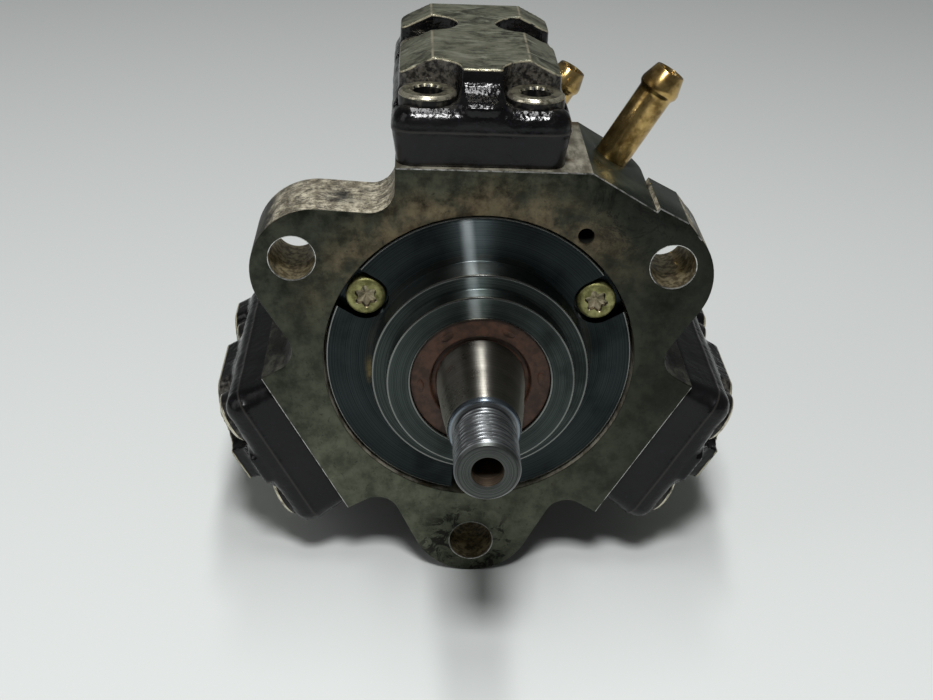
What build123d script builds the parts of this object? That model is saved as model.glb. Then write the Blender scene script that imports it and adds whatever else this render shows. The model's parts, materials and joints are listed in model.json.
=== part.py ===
"""Three-cylinder radial-piston high-pressure pump for a common-rail diesel engine.

Millimetres. +Y runs along the shaft into the pump, the shaft's threaded end points to -Y, +Z is up.
The origin is on the shaft axis in the flange's mounting face.
Angles are read from +X towards +Z, as seen by someone looking at the shaft end.
"""
import os
from math import atan2, cos, degrees, radians, sin, tan

from build123d import *

# ---------------------------------------------------------------- driving dimensions
# flange and housing
BOLT_CIRCLE = 100.0
BOLT_HOLE = 10.5
EAR_THICKNESS = 20.0
EAR_INSET = 6.2
EAR_R = 15.0
EAR_SPLAY = 27.0
FLANGE_ROOT_R = 41.0
FLANGE_FILLET = 5.5
SEAT_R = 47.0
SEAT_HALF_WIDTH = 20.4
BODY_DEPTH = 64.0
CORE_FRONT_R = 36.0
CORE_REAR_R = 31.0
HUB_R = 26.0
HUB_LENGTH = 15.0
EAR_ANGLES = (30, 150, 270)
HEAD_ANGLES = {"top": 90, "left": 210, "right": 330}
DRAIN_HOLE = 3.6
DRAIN_HOLE_R = 39.4
DRAIN_HOLE_ANGLE = 54.5

# nipple boss on the sloping face
BOSS_ANGLE = 60.0
BOSS_EDGE_X = 23.4
BOSS_REAR = 36.5
BOSS_OUTER_T = 14.1
BOSS_CORNER = 9.0
BOSS_HEIGHT = 22.4

# front cover, seal and bushes
COVER_DIAMETER = 72.0
COVER_GAP = 0.35
COVER_RECESS = 1.0
COVER_THICKNESS = 8.0
PILOT_DIAMETER = 50.0
PILOT_FRONT = 6.8
BOSS_STEP_DIAMETER = 43.0
BOSS_FRONT = 11.0
SEAL_OUTER = 32.0
SEAL_WIDTH = 7.0
SEAL_RECESS = 0.6
COVER_SCREW_CIRCLE = 61.4
COVER_SCREW_HEAD = 9.1
COVER_SCREW_THREAD = 5.0
COVER_SCREW_LENGTH = 16.0
COVER_NOTCH_WIDTH = 10.6
COVER_NOTCH_DEPTH = 3.4
COVER_GROOVE_DEPTH = 1.6
COVER_SCREW_DROP = 0.4

# drive shaft
SEAL_JOURNAL = 20.0
MAIN_JOURNAL = 23.0
TAPER_RATIO = 5.0
TAPER_START = 12.5
TAPER_END = 33.5
SHAFT_TIP = 50.0
THREAD_DIAMETER = 14.0
UNDERCUT_DIAMETER = 11.8
UNDERCUT_WIDTH = 2.2
TIP_HOLE = 6.6
TIP_HOLE_DEPTH = 9.0
ECCENTRIC_DIAMETER = 30.0
THROW = 3.2
ECCENTRIC_REST_ANGLE = 90.0
SHAFT_END_GAP = 4.0
BUSH_WALL = 1.5
JOURNAL_CLEARANCE = 0.03

# polygon ring and thrust washers
RING_WIDTH = 18.0
RING_R = 23.0
RING_FLAT_R = 19.5
CHAMBER_R = 26.8
WASHER_THICKNESS = 1.2
WASHER_OUTER_R = 23.4
SIDE_CLEARANCE = 0.1

# cylinders
PLUNGER_DIAMETER = 6.5
PLUNGER_CLEARANCE = 0.02
FOOT_DIAMETER = 15.0
FOOT_HEIGHT = 3.2
FOOT_CUP_DEPTH = 1.2
COLLAR_WIDTH = 1.25
FOOT_GAP = 0.1
SPRING_WIRE = 1.5
SPRING_OUTER = 13.5
SPRING_TURNS = 5.5
SPRING_STEPS = 10
SPIGOT_DIAMETER = 20.0
SPIGOT_LENGTH = 8.0
BARREL_NOSE_WALL = 1.43
BARREL_NOSE_LENGTH = 6.0
BARREL_DIAMETER = 16.0
BARREL_HEIGHT = 14.5
BARREL_FIT = 0.02
VALVE_POCKET_DEPTH = 3.5
TOP_CLEARANCE = 0.5
O_RING_SECTION = 1.8

# inlet valve plates and outlet balls
INLET_PLATE_LAP = 1.03
INLET_PLATE_THICKNESS = 1.0
INLET_LIFT = 0.8
INLET_PLATE_GAP = 0.3
OUTLET_VALVE_OFFSET = 8.5
OUTLET_BALL = 5.0
OUTLET_BORE = 5.6
OUTLET_SEAT_HEIGHT = 10.6
OUTLET_LIFT = 0.8
OUTLET_SPRING_WIRE = 0.6
CROSS_DRILLING = 2.4
CROSS_DRILLING_HEIGHT = 12.6

# cylinder heads
CONNECTOR_BOSS_INSET = 0.5
HEAD_FRONT = 0.5
HEAD_REAR_OVERHANG = 4.5
HEAD_WIDTH = 39.6
HEAD_DRAFT = 1.1
HEAD_PARTING_HEIGHT = 8.0
HEAD_LEDGE_HEIGHT = 13.4
HEAD_SHOULDER_ROUND = 4.0
HEAD_HEIGHT = 20.3
HEAD_FACET_HEIGHT = 16.6
HEAD_TOP_HALF = 11.0
HEAD_TOWER_HALF = 18.5
HEAD_TOWER_INSET = 0.8
HEAD_TOWER_CORNER = 2.4
HEAD_TONGUE_CORNER = 2.0
HEAD_TONGUE_FLARE = 2.4
HEAD_CORNER = 3.5
HEAD_SHIFT = -1.5
HEAD_RIB_LEAN_HEIGHT = 14.2
HEAD_RIB_LEAN = 7.8
HEAD_SCREW_X = 12.0
HEAD_SCREW_FRONT = 10.0
HEAD_SCREW_PITCH = 39.0
POCKET_R = 7.4
SPOTFACE_R = 6.95
HEAD_SCREW_THREAD = 8.0
HEAD_SCREW_HEAD = 13.0
HEAD_SCREW_HEAD_HEIGHT = 8.0
HEAD_SCREW_SEAT_HEIGHT = 7.2
HEAD_SCREW_LENGTH = 16.6
HEAD_SCREW_SOCKET = 6.5
SCREW_HOLE_GAP = 0.4

# nipples, safety valve and outlet connector
NIPPLE_OUTER = 8.2
NIPPLE_BORE = 5.6
NIPPLE_BULGE = 9.5
NIPPLE_END = 7.1
NIPPLE_HEIGHT = 24.4
NIPPLE_CONE = 5.2
NIPPLE_SUNK = 8.0
INLET_T = 4.5
INLET_Y = 22.6
RETURN_T = -3.4
RETURN_BOSS_HEIGHT = 5.9
RETURN_BOSS_R = 7.0
SAFETY_BORE = 9.0
SAFETY_DEPTH = 10.4
SAFETY_PISTON_LENGTH = 7.0
SAFETY_BORE_FRONT = 12.0
SAFETY_PLUG_LENGTH = 7.0
SAFETY_SPRING_WIRE = 0.9
SAFETY_TRAVEL = 2.5
CONNECTOR_THREAD = 14.0
CONNECTOR_HEX = 17.0
CONNECTOR_BORE = 3.0
CONNECTOR_HEIGHT = 21.0
CONNECTOR_SUNK = 7.0
CONNECTOR_BOSS_R = 9.0
CONNECTOR_BOSS_HEIGHT = 5.5

# pressure control valve on the rear hub
VALVE_NOSE = 17.0
VALVE_NOSE_LENGTH = 11.0
VALVE_PLATE_THICKNESS = 5.0
VALVE_PLATE_R = 12.0
VALVE_SCREW_R = 19.0
VALVE_LUG_R = 5.2
VALVE_SCREW_THREAD = 5.0
VALVE_SCREW_LENGTH = 14.0
VALVE_TUBE = 13.0
VALVE_TUBE_LENGTH = 24.0
COIL_DIAMETER = 29.0
COIL_LENGTH = 25.0
PLUG_WIDTH = 14.0
PLUG_HEIGHT = 24.0
PLUG_DEPTH = 11.0
PLUG_WALL = 1.5
ARMATURE_DIAMETER = 9.0
ARMATURE_TRAVEL = 0.5

# general clearances
SLIDE_GAP = 0.03
FREE_GAP = 0.3
TOUCH_GAP = 0.02

# ---------------------------------------------------------------- derived places
EAR_CENTRE_R = BOLT_CIRCLE / 2 - EAR_INSET
BOSS_FACE_R = SEAT_R * sin(radians(BOSS_ANGLE)) + BOSS_EDGE_X * cos(radians(BOSS_ANGLE))
BOSS_ROOT_R = BOSS_FACE_R - BOSS_HEIGHT
SAFETY_R = BOSS_FACE_R - SAFETY_DEPTH
SHAFT_REAR = BODY_DEPTH - SHAFT_END_GAP
HEAD_SCREW_Y = (HEAD_SCREW_FRONT, HEAD_SCREW_FRONT + HEAD_SCREW_PITCH)
CYLINDER_Y = HEAD_SCREW_FRONT + HEAD_SCREW_PITCH / 2
OUTLET_VALVE_Y = HEAD_SCREW_FRONT + HEAD_SCREW_PITCH + OUTLET_VALVE_OFFSET
HEAD_LENGTH = BODY_DEPTH + HEAD_REAR_OVERHANG - HEAD_FRONT
HEAD_PARTING_R = SEAT_R + HEAD_PARTING_HEIGHT
HEAD_LEDGE_R = SEAT_R + HEAD_LEDGE_HEIGHT
HEAD_FACET_R = SEAT_R + HEAD_FACET_HEIGHT
HEAD_TOP_R = SEAT_R + HEAD_HEIGHT
HEAD_RIB_LEAN_R = SEAT_R + HEAD_RIB_LEAN_HEIGHT
HEAD_SCREW_SEAT_R = SEAT_R + HEAD_SCREW_SEAT_HEIGHT
HEAD_SCREW_TIP_R = HEAD_SCREW_SEAT_R - HEAD_SCREW_LENGTH
SPIGOT_END_R = SEAT_R - SPIGOT_LENGTH
BARREL_NOSE_R = SPIGOT_END_R - BARREL_NOSE_LENGTH
BARREL_TOP_R = SEAT_R + BARREL_HEIGHT
VALVE_POCKET_R = BARREL_TOP_R - VALVE_POCKET_DEPTH
OUTLET_SEAT_R = SEAT_R + OUTLET_SEAT_HEIGHT
CROSS_DRILLING_R = SEAT_R + CROSS_DRILLING_HEIGHT
RING_FRONT = CYLINDER_Y - RING_WIDTH / 2
RING_BACK = CYLINDER_Y + RING_WIDTH / 2
WASHER_FRONT = RING_FRONT - SIDE_CLEARANCE - WASHER_THICKNESS
WASHER_BACK = RING_BACK + SIDE_CLEARANCE + WASHER_THICKNESS
CHAMBER_BACK = WASHER_BACK + SIDE_CLEARANCE
COVER_BACK = COVER_RECESS + COVER_THICKNESS
COVER_HUB_BACK = WASHER_FRONT - SIDE_CLEARANCE
SEAL_FRONT = -BOSS_FRONT + SEAL_RECESS
SEAL_BACK = SEAL_FRONT + SEAL_WIDTH
BUSH_R = MAIN_JOURNAL / 2 + JOURNAL_CLEARANCE
BARREL_BORE_R = PLUNGER_DIAMETER / 2 + PLUNGER_CLEARANCE
HUB_BACK = BODY_DEPTH + HUB_LENGTH
RETURN_Y = BODY_DEPTH + HUB_LENGTH / 2
RETURN_FACE_R = HUB_R + RETURN_BOSS_HEIGHT
CONNECTOR_Y = HUB_BACK - CONNECTOR_BOSS_R - CONNECTOR_BOSS_INSET
CONNECTOR_FACE_R = HUB_R + CONNECTOR_BOSS_HEIGHT
SAFETY_REAR = BOSS_REAR
PLATE_BACK = HUB_BACK + VALVE_PLATE_THICKNESS


# ---------------------------------------------------------------- helpers
def direction(angle):
    """Unit vector in the XZ plane at an angle from +X towards +Z."""
    return Vector(cos(radians(angle)), 0, sin(radians(angle)))


def prism(sketch, front, back):
    """Extrude an XZ sketch along the shaft, from y = front to y = back."""
    return extrude(Plane.XZ.offset(-back) * sketch, amount=back - front)


def turned(points):
    """Revolve a closed (radius, y) outline about the shaft axis."""
    return revolve(make_face(Polyline(*points, close=True)), Axis.Y)


def rod(radius, front, back):
    """Round bar on the shaft axis."""
    return prism(Circle(radius), front, back)


def upright(points, y=CYLINDER_Y):
    """Revolve a closed (radius, z) outline about a line that is parallel to Z."""
    face = make_face(Plane.XZ * Polyline(*points, close=True))
    return Pos(0, y, 0) * revolve(face, Axis.Z)


def post(radius, low, high, x=0.0, y=CYLINDER_Y):
    """Round bar parallel to Z."""
    return Pos(x, y, low) * extrude(Circle(radius), amount=high - low)


def at_angle(shape, angle):
    """Turn something made for the top cylinder round to another angle."""
    return Rot(0, 90 - angle, 0) * shape


def outward(angle, t, y, radius):
    """Plane whose normal points away from the shaft axis, t across it and y along the shaft."""
    out = direction(angle)
    across = direction(angle - 90)
    return Plane(origin=out * radius + across * t + Vector(0, y, 0), x_dir=across, z_dir=out)


def coil(mean_r, wire, low, high, turns):
    """Helical compression spring between the planes low and high, bent in short straight steps."""
    edge = wire / 2 * cos(radians(30))
    rise = high - low - 2 * edge
    steps = round(turns * SPRING_STEPS)
    points = []
    for k in range(steps + 1):
        turn = radians(360 * k / SPRING_STEPS)
        points.append((mean_r * cos(turn), mean_r * sin(turn), low + edge + rise * k / steps))
    path = Polyline(*points)
    start = Plane(origin=points[0], x_dir=(1, 0, 0), z_dir=(0, 1, 0))
    section = start * RegularPolygon(wire / 2, 6)
    return sweep(section, path=path, transition=Transition.RIGHT)


def o_ring(ring_r, section_r):
    """Sealing ring about Z with an eight-sided section."""
    section = Plane.XZ * Pos(ring_r, 0) * RegularPolygon(section_r, 8, rotation=22.5)
    return revolve(section, Axis.Z)


def throw_at(angle):
    """How far the ring's flat that faces an angle is pushed out when the shaft is at rest."""
    return THROW * cos(radians(ECCENTRIC_REST_ANGLE - angle))


def hexagon(across_flats):
    """Hexagon sketch with the given width across its flats."""
    return RegularPolygon(across_flats / 2, 6, major_radius=False)


# ---------------------------------------------------------------- housing
def flange_outline():
    """Three ears and three head seats round the core, with the corners between them rounded."""
    run = EAR_R * 1.2
    tangent_x = EAR_CENTRE_R + EAR_R * sin(radians(EAR_SPLAY))
    tangent_y = EAR_R * cos(radians(EAR_SPLAY))
    root_x = tangent_x - run * cos(radians(EAR_SPLAY))
    root_y = tangent_y + run * sin(radians(EAR_SPLAY))
    flanks = make_face(Polyline((root_x, -root_y), (tangent_x, -tangent_y), (tangent_x, tangent_y),
                                (root_x, root_y), (0, 0), close=True))
    ear = flanks + Pos(EAR_CENTRE_R, 0) * Circle(EAR_R)
    outline = Circle(FLANGE_ROOT_R)
    for angle in EAR_ANGLES:
        outline += Rot(0, 0, angle) * ear
    for angle in HEAD_ANGLES.values():
        outline += Rot(0, 0, angle - 90) * Pos(0, SEAT_R / 2) * Rectangle(2 * SEAT_HALF_WIDTH, SEAT_R)
    corners = [v for v in outline.vertices() if FLANGE_ROOT_R - 3 < Vector(v).length < FLANGE_ROOT_R + 3]
    return fillet(corners, FLANGE_FILLET)


def boss_lip():
    """Cast lip between the machined slope and the right ear."""
    out = direction(BOSS_ANGLE)
    across = direction(BOSS_ANGLE - 90)
    edge = out * BOSS_FACE_R + across * BOSS_OUTER_T
    inside = edge - out * 10 - across * 4
    return make_face(Polyline((edge.X, edge.Z), (edge.X + 0.6, edge.Z + 0.9), (edge.X + 7.5, edge.Z - 2.6),
                              (edge.X + 11, edge.Z - 7), (edge.X, edge.Z - 14), (inside.X, inside.Z),
                              close=True))


def nipple_boss():
    """Boss with the sloping machined face that carries the inlet nipple."""
    plane = outward(BOSS_ANGLE, 0, BOSS_REAR / 2, BOSS_FACE_R)
    seat_edge = (BOSS_FACE_R - SEAT_R * sin(radians(BOSS_ANGLE))) / cos(radians(BOSS_ANGLE))
    inner_t = seat_edge * sin(radians(BOSS_ANGLE)) - SEAT_R * cos(radians(BOSS_ANGLE))
    width = BOSS_OUTER_T - inner_t
    face = Pos((BOSS_OUTER_T + inner_t) / 2, 0) * Rectangle(width, BOSS_REAR)
    block = extrude(plane * face, amount=-(BOSS_FACE_R - BOSS_ROOT_R))
    shelf = prism(Pos(seat_edge / 2, SEAT_R - 8) * Rectangle(seat_edge, 16), 0, BOSS_REAR)
    block += shelf
    corner = block.edges().filter_by(lambda e: abs((e % 0.5).dot(direction(BOSS_ANGLE))) > 0.99)
    corner = corner.filter_by(lambda e: (e @ 0.5).Y > BOSS_REAR - 1).sort_by(Axis.X)[-1]
    return fillet(corner, BOSS_CORNER)


def pump_housing():
    flange = prism(flange_outline() + boss_lip(), 0, EAR_THICKNESS)
    core = turned([(0, 0), (CORE_FRONT_R, 0), (CORE_FRONT_R, EAR_THICKNESS), (CORE_REAR_R, BODY_DEPTH),
                   (0, BODY_DEPTH)])
    body = flange + core + nipple_boss()
    pad = prism(Pos(0, SEAT_R / 2) * Rectangle(2 * SEAT_HALF_WIDTH, SEAT_R), 0, BODY_DEPTH)
    pad = chamfer(pad.edges().group_by(Axis.Y)[-1].filter_by(Axis.Z), 3)
    for angle in HEAD_ANGLES.values():
        body += at_angle(pad, angle)
    hub = rod(HUB_R, BODY_DEPTH, HUB_BACK)
    body += chamfer(hub.edges().group_by(Axis.Y)[-1], 1.2)
    body += extrude(outward(BOSS_ANGLE, RETURN_T, RETURN_Y, 0) * Circle(RETURN_BOSS_R), amount=RETURN_FACE_R)
    body += extrude(outward(270, 0, CONNECTOR_Y, 0) * Circle(CONNECTOR_BOSS_R), amount=CONNECTOR_FACE_R)

    # bores on the shaft axis
    bearing_r = MAIN_JOURNAL / 2 + BUSH_WALL + JOURNAL_CLEARANCE
    body -= rod(COVER_DIAMETER / 2 + COVER_GAP, 0, COVER_BACK)
    body -= rod(CHAMBER_R, COVER_BACK, CHAMBER_BACK)
    body -= rod(bearing_r, CHAMBER_BACK, SHAFT_REAR + 1)
    body -= rod(VALVE_NOSE / 2, HUB_BACK - VALVE_NOSE_LENGTH - 1, HUB_BACK)

    # flange holes
    for angle in EAR_ANGLES:
        centre = direction(angle) * (BOLT_CIRCLE / 2)
        body -= prism(Pos(centre.X, centre.Z) * Circle(BOLT_HOLE / 2), 0, EAR_THICKNESS)
        tapped = direction(angle) * (COVER_SCREW_CIRCLE / 2)
        depth = COVER_RECESS + COVER_SCREW_DROP + COVER_SCREW_LENGTH + 2
        body -= prism(Pos(tapped.X, tapped.Z) * Circle(COVER_SCREW_THREAD / 2), 0, depth)
        screw = direction(angle + 180) * VALVE_SCREW_R
        tap = HUB_BACK + VALVE_PLATE_THICKNESS - VALVE_SCREW_LENGTH - 1
        body -= prism(Pos(screw.X, screw.Z) * Circle(VALVE_SCREW_THREAD / 2), tap, HUB_BACK)
    drain = direction(DRAIN_HOLE_ANGLE) * DRAIN_HOLE_R
    body -= prism(Pos(drain.X, drain.Z) * Circle(DRAIN_HOLE / 2), 0, COVER_BACK)

    # cylinder bores, head screw holes and pressure ports
    cuts = post(SPIGOT_DIAMETER / 2, 20, SEAT_R)
    cuts += post(SPIGOT_DIAMETER / 2 + O_RING_SECTION, SEAT_R - O_RING_SECTION * 0.85, SEAT_R)
    for x, y in head_screw_places():
        cuts += post(HEAD_SCREW_THREAD / 2, HEAD_SCREW_TIP_R - 0.6, SEAT_R, x, y)
    cuts += post(CROSS_DRILLING / 2, SEAT_R - 12, SEAT_R, 0, OUTLET_VALVE_Y)
    for angle in HEAD_ANGLES.values():
        body -= at_angle(cuts, angle)

    # nipple, safety valve and connector bores
    deep = BOSS_FACE_R - SAFETY_R
    body -= extrude(outward(BOSS_ANGLE, INLET_T, INLET_Y, BOSS_FACE_R) * Circle(NIPPLE_OUTER / 2), amount=-deep)
    body -= safety_axis() * prism(Circle(SAFETY_BORE / 2), SAFETY_BORE_FRONT, SAFETY_REAR)
    body -= extrude(outward(BOSS_ANGLE, RETURN_T, RETURN_Y, RETURN_FACE_R) * Circle(NIPPLE_OUTER / 2),
                    amount=-NIPPLE_SUNK - 2)
    body -= extrude(outward(270, 0, CONNECTOR_Y, CONNECTOR_FACE_R) * Circle(CONNECTOR_THREAD / 2),
                    amount=-CONNECTOR_SUNK - 1)
    return body


def head_screw_places():
    """Screw positions of the top head, on its seat."""
    return [(side * HEAD_SCREW_X + HEAD_SHIFT, y) for side in (-1, 1) for y in HEAD_SCREW_Y]


def safety_axis():
    """Place of the safety valve's bore, which runs parallel to the shaft under the sloping face."""
    centre = direction(BOSS_ANGLE) * SAFETY_R + direction(BOSS_ANGLE - 90) * INLET_T
    return Pos(centre.X, 0, centre.Z)


# ---------------------------------------------------------------- front cover
def front_cover():
    outer = COVER_DIAMETER / 2
    step = BOSS_STEP_DIAMETER / 2
    bore = MAIN_JOURNAL / 2 + BUSH_WALL + JOURNAL_CLEARANCE
    seal = SEAL_OUTER / 2
    pilot = PILOT_DIAMETER / 2
    hub = CHAMBER_R - 0.1
    groove = hub - COVER_GROOVE_DEPTH
    outline = [(bore, COVER_HUB_BACK), (bore, SEAL_BACK + 1.5), (bore - 1.6, SEAL_BACK + 1.5),
               (bore - 1.6, SEAL_BACK), (seal, SEAL_BACK), (seal, -BOSS_FRONT + 0.5),
               (seal + 0.5, -BOSS_FRONT), (step - 0.5, -BOSS_FRONT), (step, -BOSS_FRONT + 0.5),
               (step, -PILOT_FRONT), (pilot - 0.5, -PILOT_FRONT), (pilot, -PILOT_FRONT + 0.5),
               (pilot, COVER_RECESS), (outer, COVER_RECESS), (outer, COVER_BACK),
               (hub, COVER_BACK), (hub, COVER_BACK + 2.2), (groove, COVER_BACK + 2.2),
               (groove, COVER_BACK + 4.2), (hub, COVER_BACK + 4.2), (hub, COVER_BACK + 6),
               (hub - 4, COVER_BACK + 6), (hub - 4, COVER_HUB_BACK)]
    cover = turned(outline)
    for angle in EAR_ANGLES:
        place = Rot(0, 0, angle) * Pos(COVER_SCREW_CIRCLE / 2, 0)
        notch = Circle(COVER_NOTCH_WIDTH / 2) + Pos(8, 0) * Rectangle(16, COVER_NOTCH_WIDTH)
        cover -= prism(place * notch, COVER_RECESS, COVER_RECESS + COVER_NOTCH_DEPTH)
        cover -= prism(place * Circle(COVER_SCREW_THREAD / 2 + 0.2), COVER_RECESS, COVER_BACK)
    return cover


def cover_screws():
    """Three pan-head screws with six-lobed recesses, sunk in the cover's notches."""
    head_r = COVER_SCREW_HEAD / 2
    head_front = COVER_RECESS + COVER_SCREW_DROP
    seat = COVER_RECESS + COVER_NOTCH_DEPTH
    tip = head_front + COVER_SCREW_LENGTH
    shank = COVER_SCREW_THREAD / 2 - TOUCH_GAP
    screw = turned([(0, head_front), (head_r - 0.5, head_front), (head_r, head_front + 0.5), (head_r, seat),
                    (shank, seat), (shank, tip), (0, tip)])
    screw -= prism(RegularPolygon(2.6, 6), head_front, head_front + 1.9)
    places = [direction(angle) * (COVER_SCREW_CIRCLE / 2) for angle in EAR_ANGLES]
    return Compound([Pos(p.X, 0, p.Z) * screw for p in places])


def cover_o_ring():
    groove_y = COVER_BACK + 3.2
    section = (COVER_GROOVE_DEPTH + 0.1) / 2 - TOUCH_GAP
    return Pos(0, groove_y, 0) * Rot(90, 0, 0) * o_ring(CHAMBER_R - TOUCH_GAP - section, section)


def front_bush():
    inner = BUSH_R
    outer = inner + BUSH_WALL
    return turned([(inner, SEAL_BACK + 1.6), (outer, SEAL_BACK + 1.6), (outer, COVER_HUB_BACK - 0.2),
                   (inner, COVER_HUB_BACK - 0.2)])


def rear_bush():
    inner = BUSH_R
    outer = inner + BUSH_WALL
    return turned([(inner, CHAMBER_BACK + 0.2), (outer, CHAMBER_BACK + 0.2), (outer, SHAFT_REAR - 2),
                   (inner, SHAFT_REAR - 2)])


def shaft_seal():
    """Radial lip seal: rubber-covered case, dust lip at the front, sealing lip with its spring groove."""
    outer = SEAL_OUTER / 2
    shaft = SEAL_JOURNAL / 2 + SLIDE_GAP
    front = SEAL_FRONT
    outline = [(shaft, front + 1.0), (shaft + 1.4, front), (outer - 0.4, front), (outer, front + 0.4),
               (outer, SEAL_BACK), (outer - 1.6, SEAL_BACK), (outer - 1.6, front + 2.4),
               (shaft + 2.6, front + 2.4), (shaft + 2.9, front + 5.6), (shaft + 1.9, front + 5.6),
               (shaft + 1.9, front + 4.5), (shaft + 1.0, front + 4.5), (shaft + 0.7, front + 5.9),
               (shaft, front + 5.0), (shaft + 0.8, front + 3.4), (shaft + 0.8, front + 1.8),
               (shaft, front + 1.5)]
    return turned(outline)


def seal_garter_spring():
    ring_r = SEAL_JOURNAL / 2 + SLIDE_GAP + 1.45
    return Pos(0, SEAL_FRONT + 5.0, 0) * Rot(90, 0, 0) * o_ring(ring_r, 0.4)


# ---------------------------------------------------------------- shaft, ring and washers
def drive_shaft():
    seal_r = SEAL_JOURNAL / 2
    main_r = MAIN_JOURNAL / 2
    thread_r = THREAD_DIAMETER / 2
    taper_r = seal_r - (TAPER_END - TAPER_START) / TAPER_RATIO / 2
    undercut_r = UNDERCUT_DIAMETER / 2
    step_y = SEAL_BACK + 0.8
    thread_start = TAPER_END + UNDERCUT_WIDTH
    outline = [(0, -SHAFT_TIP), (thread_r - 0.8, -SHAFT_TIP), (thread_r, -SHAFT_TIP + 0.9),
               (thread_r, -thread_start - 0.8), (undercut_r, -thread_start), (undercut_r, -TAPER_END - 0.3),
               (taper_r - 0.4, -TAPER_END), (taper_r, -TAPER_END + 0.5), (seal_r, -TAPER_START),
               (seal_r, step_y), (main_r, step_y + 0.8), (main_r, SHAFT_REAR - 0.8),
               (main_r - 0.8, SHAFT_REAR), (0, SHAFT_REAR)]
    shaft = turned(outline)
    lift = direction(ECCENTRIC_REST_ANGLE) * THROW
    cheek = SIDE_CLEARANCE
    shaft += Pos(lift.X, 0, lift.Z) * rod(ECCENTRIC_DIAMETER / 2, RING_FRONT + cheek, RING_BACK - cheek)
    hole_r = TIP_HOLE / 2
    hole_end = -SHAFT_TIP + TIP_HOLE_DEPTH
    shaft -= turned([(0, -SHAFT_TIP), (hole_r + 0.5, -SHAFT_TIP), (hole_r, -SHAFT_TIP + 0.5),
                     (hole_r, hole_end), (0, hole_end + hole_r * tan(radians(31)))])
    return shaft


def ring_outline():
    """Round ring with three flats, one under each plunger."""
    outline = Circle(RING_R)
    for angle in HEAD_ANGLES.values():
        beyond = RING_R - RING_FLAT_R
        outline -= Rot(0, 0, angle - 90) * Pos(0, RING_FLAT_R + beyond) * Rectangle(2 * RING_R, 2 * beyond)
    return outline


def polygon_ring():
    lift = direction(ECCENTRIC_REST_ANGLE) * THROW
    bore = ECCENTRIC_DIAMETER / 2 + JOURNAL_CLEARANCE + BUSH_WALL
    ring = prism(ring_outline() - Circle(bore), RING_FRONT, RING_BACK)
    return Pos(lift.X, 0, lift.Z) * ring


def ring_bush():
    lift = direction(ECCENTRIC_REST_ANGLE) * THROW
    inner = ECCENTRIC_DIAMETER / 2 + JOURNAL_CLEARANCE
    outline = Circle(inner + BUSH_WALL) - Circle(inner)
    return Pos(lift.X, 0, lift.Z) * prism(outline, RING_FRONT + 0.3, RING_BACK - 0.3)


def thrust_washers():
    """Floating washers at the two sides of the ring, carried half way to the eccentric's centre."""
    lift = direction(ECCENTRIC_REST_ANGLE) * (THROW / 2)
    bore = MAIN_JOURNAL / 2 + THROW / 2 + FREE_GAP
    outline = Circle(WASHER_OUTER_R) - Circle(bore)
    front = prism(outline, WASHER_FRONT, WASHER_FRONT + WASHER_THICKNESS)
    back = prism(outline, WASHER_BACK - WASHER_THICKNESS, WASHER_BACK)
    return Compound([Pos(lift.X, 0, lift.Z) * front, Pos(lift.X, 0, lift.Z) * back])


# ---------------------------------------------------------------- cylinders (made at the top)
def foot_rest_z(angle):
    """Underside of the plunger foot when the shaft is at rest."""
    return RING_FLAT_R + throw_at(angle) + FOOT_GAP


def cylinder_barrel():
    """Barrel with its spigot in the housing, its spring nose below and the valve pocket on top."""
    nose = BARREL_BORE_R + BARREL_NOSE_WALL
    spigot = SPIGOT_DIAMETER / 2 - BARREL_FIT
    barrel = BARREL_DIAMETER / 2 - BARREL_FIT
    pocket = BARREL_BORE_R + INLET_PLATE_LAP + INLET_PLATE_GAP
    bore = BARREL_BORE_R
    return upright([(bore, BARREL_NOSE_R), (nose - 0.5, BARREL_NOSE_R), (nose, BARREL_NOSE_R + 0.5),
                    (nose, SPIGOT_END_R), (spigot - 0.6, SPIGOT_END_R), (spigot, SPIGOT_END_R + 0.6),
                    (spigot, SEAT_R), (barrel, SEAT_R), (barrel, BARREL_TOP_R), (pocket, BARREL_TOP_R),
                    (pocket, VALVE_POCKET_R), (bore, VALVE_POCKET_R)])


def plunger(angle):
    """Plunger with the collar that sits in the foot's cup."""
    r = PLUNGER_DIAMETER / 2
    low = foot_rest_z(angle) + FOOT_HEIGHT - FOOT_CUP_DEPTH
    top = VALVE_POCKET_R - TOP_CLEARANCE - THROW + throw_at(angle)
    collar = PLUNGER_DIAMETER / 2 + COLLAR_WIDTH
    return upright([(0, low), (collar, low), (collar, low + 1.0), (r, low + 1.0), (r, top - 0.4),
                    (r - 0.4, top), (0, top)])


def plunger_foot(angle):
    low = foot_rest_z(angle)
    outer = FOOT_DIAMETER / 2
    cup = PLUNGER_DIAMETER / 2 + COLLAR_WIDTH + 0.1
    top = low + FOOT_HEIGHT
    return upright([(0, low), (outer - 0.6, low), (outer, low + 0.6), (outer, top), (cup, top),
                    (cup, top - FOOT_CUP_DEPTH), (0, top - FOOT_CUP_DEPTH)])


def plunger_spring(angle):
    low = foot_rest_z(angle) + FOOT_HEIGHT + TOUCH_GAP
    high = SPIGOT_END_R - TOUCH_GAP
    mean_r = (SPRING_OUTER - SPRING_WIRE) / 2
    return Pos(0, CYLINDER_Y, 0) * coil(mean_r, SPRING_WIRE, low, high, SPRING_TURNS)


def barrel_o_ring():
    section = O_RING_SECTION / 2 - 0.14
    centre_r = SPIGOT_DIAMETER / 2 + O_RING_SECTION / 2
    return Pos(0, CYLINDER_Y, SEAT_R - O_RING_SECTION * 0.85 / 2) * o_ring(centre_r, section)


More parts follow.
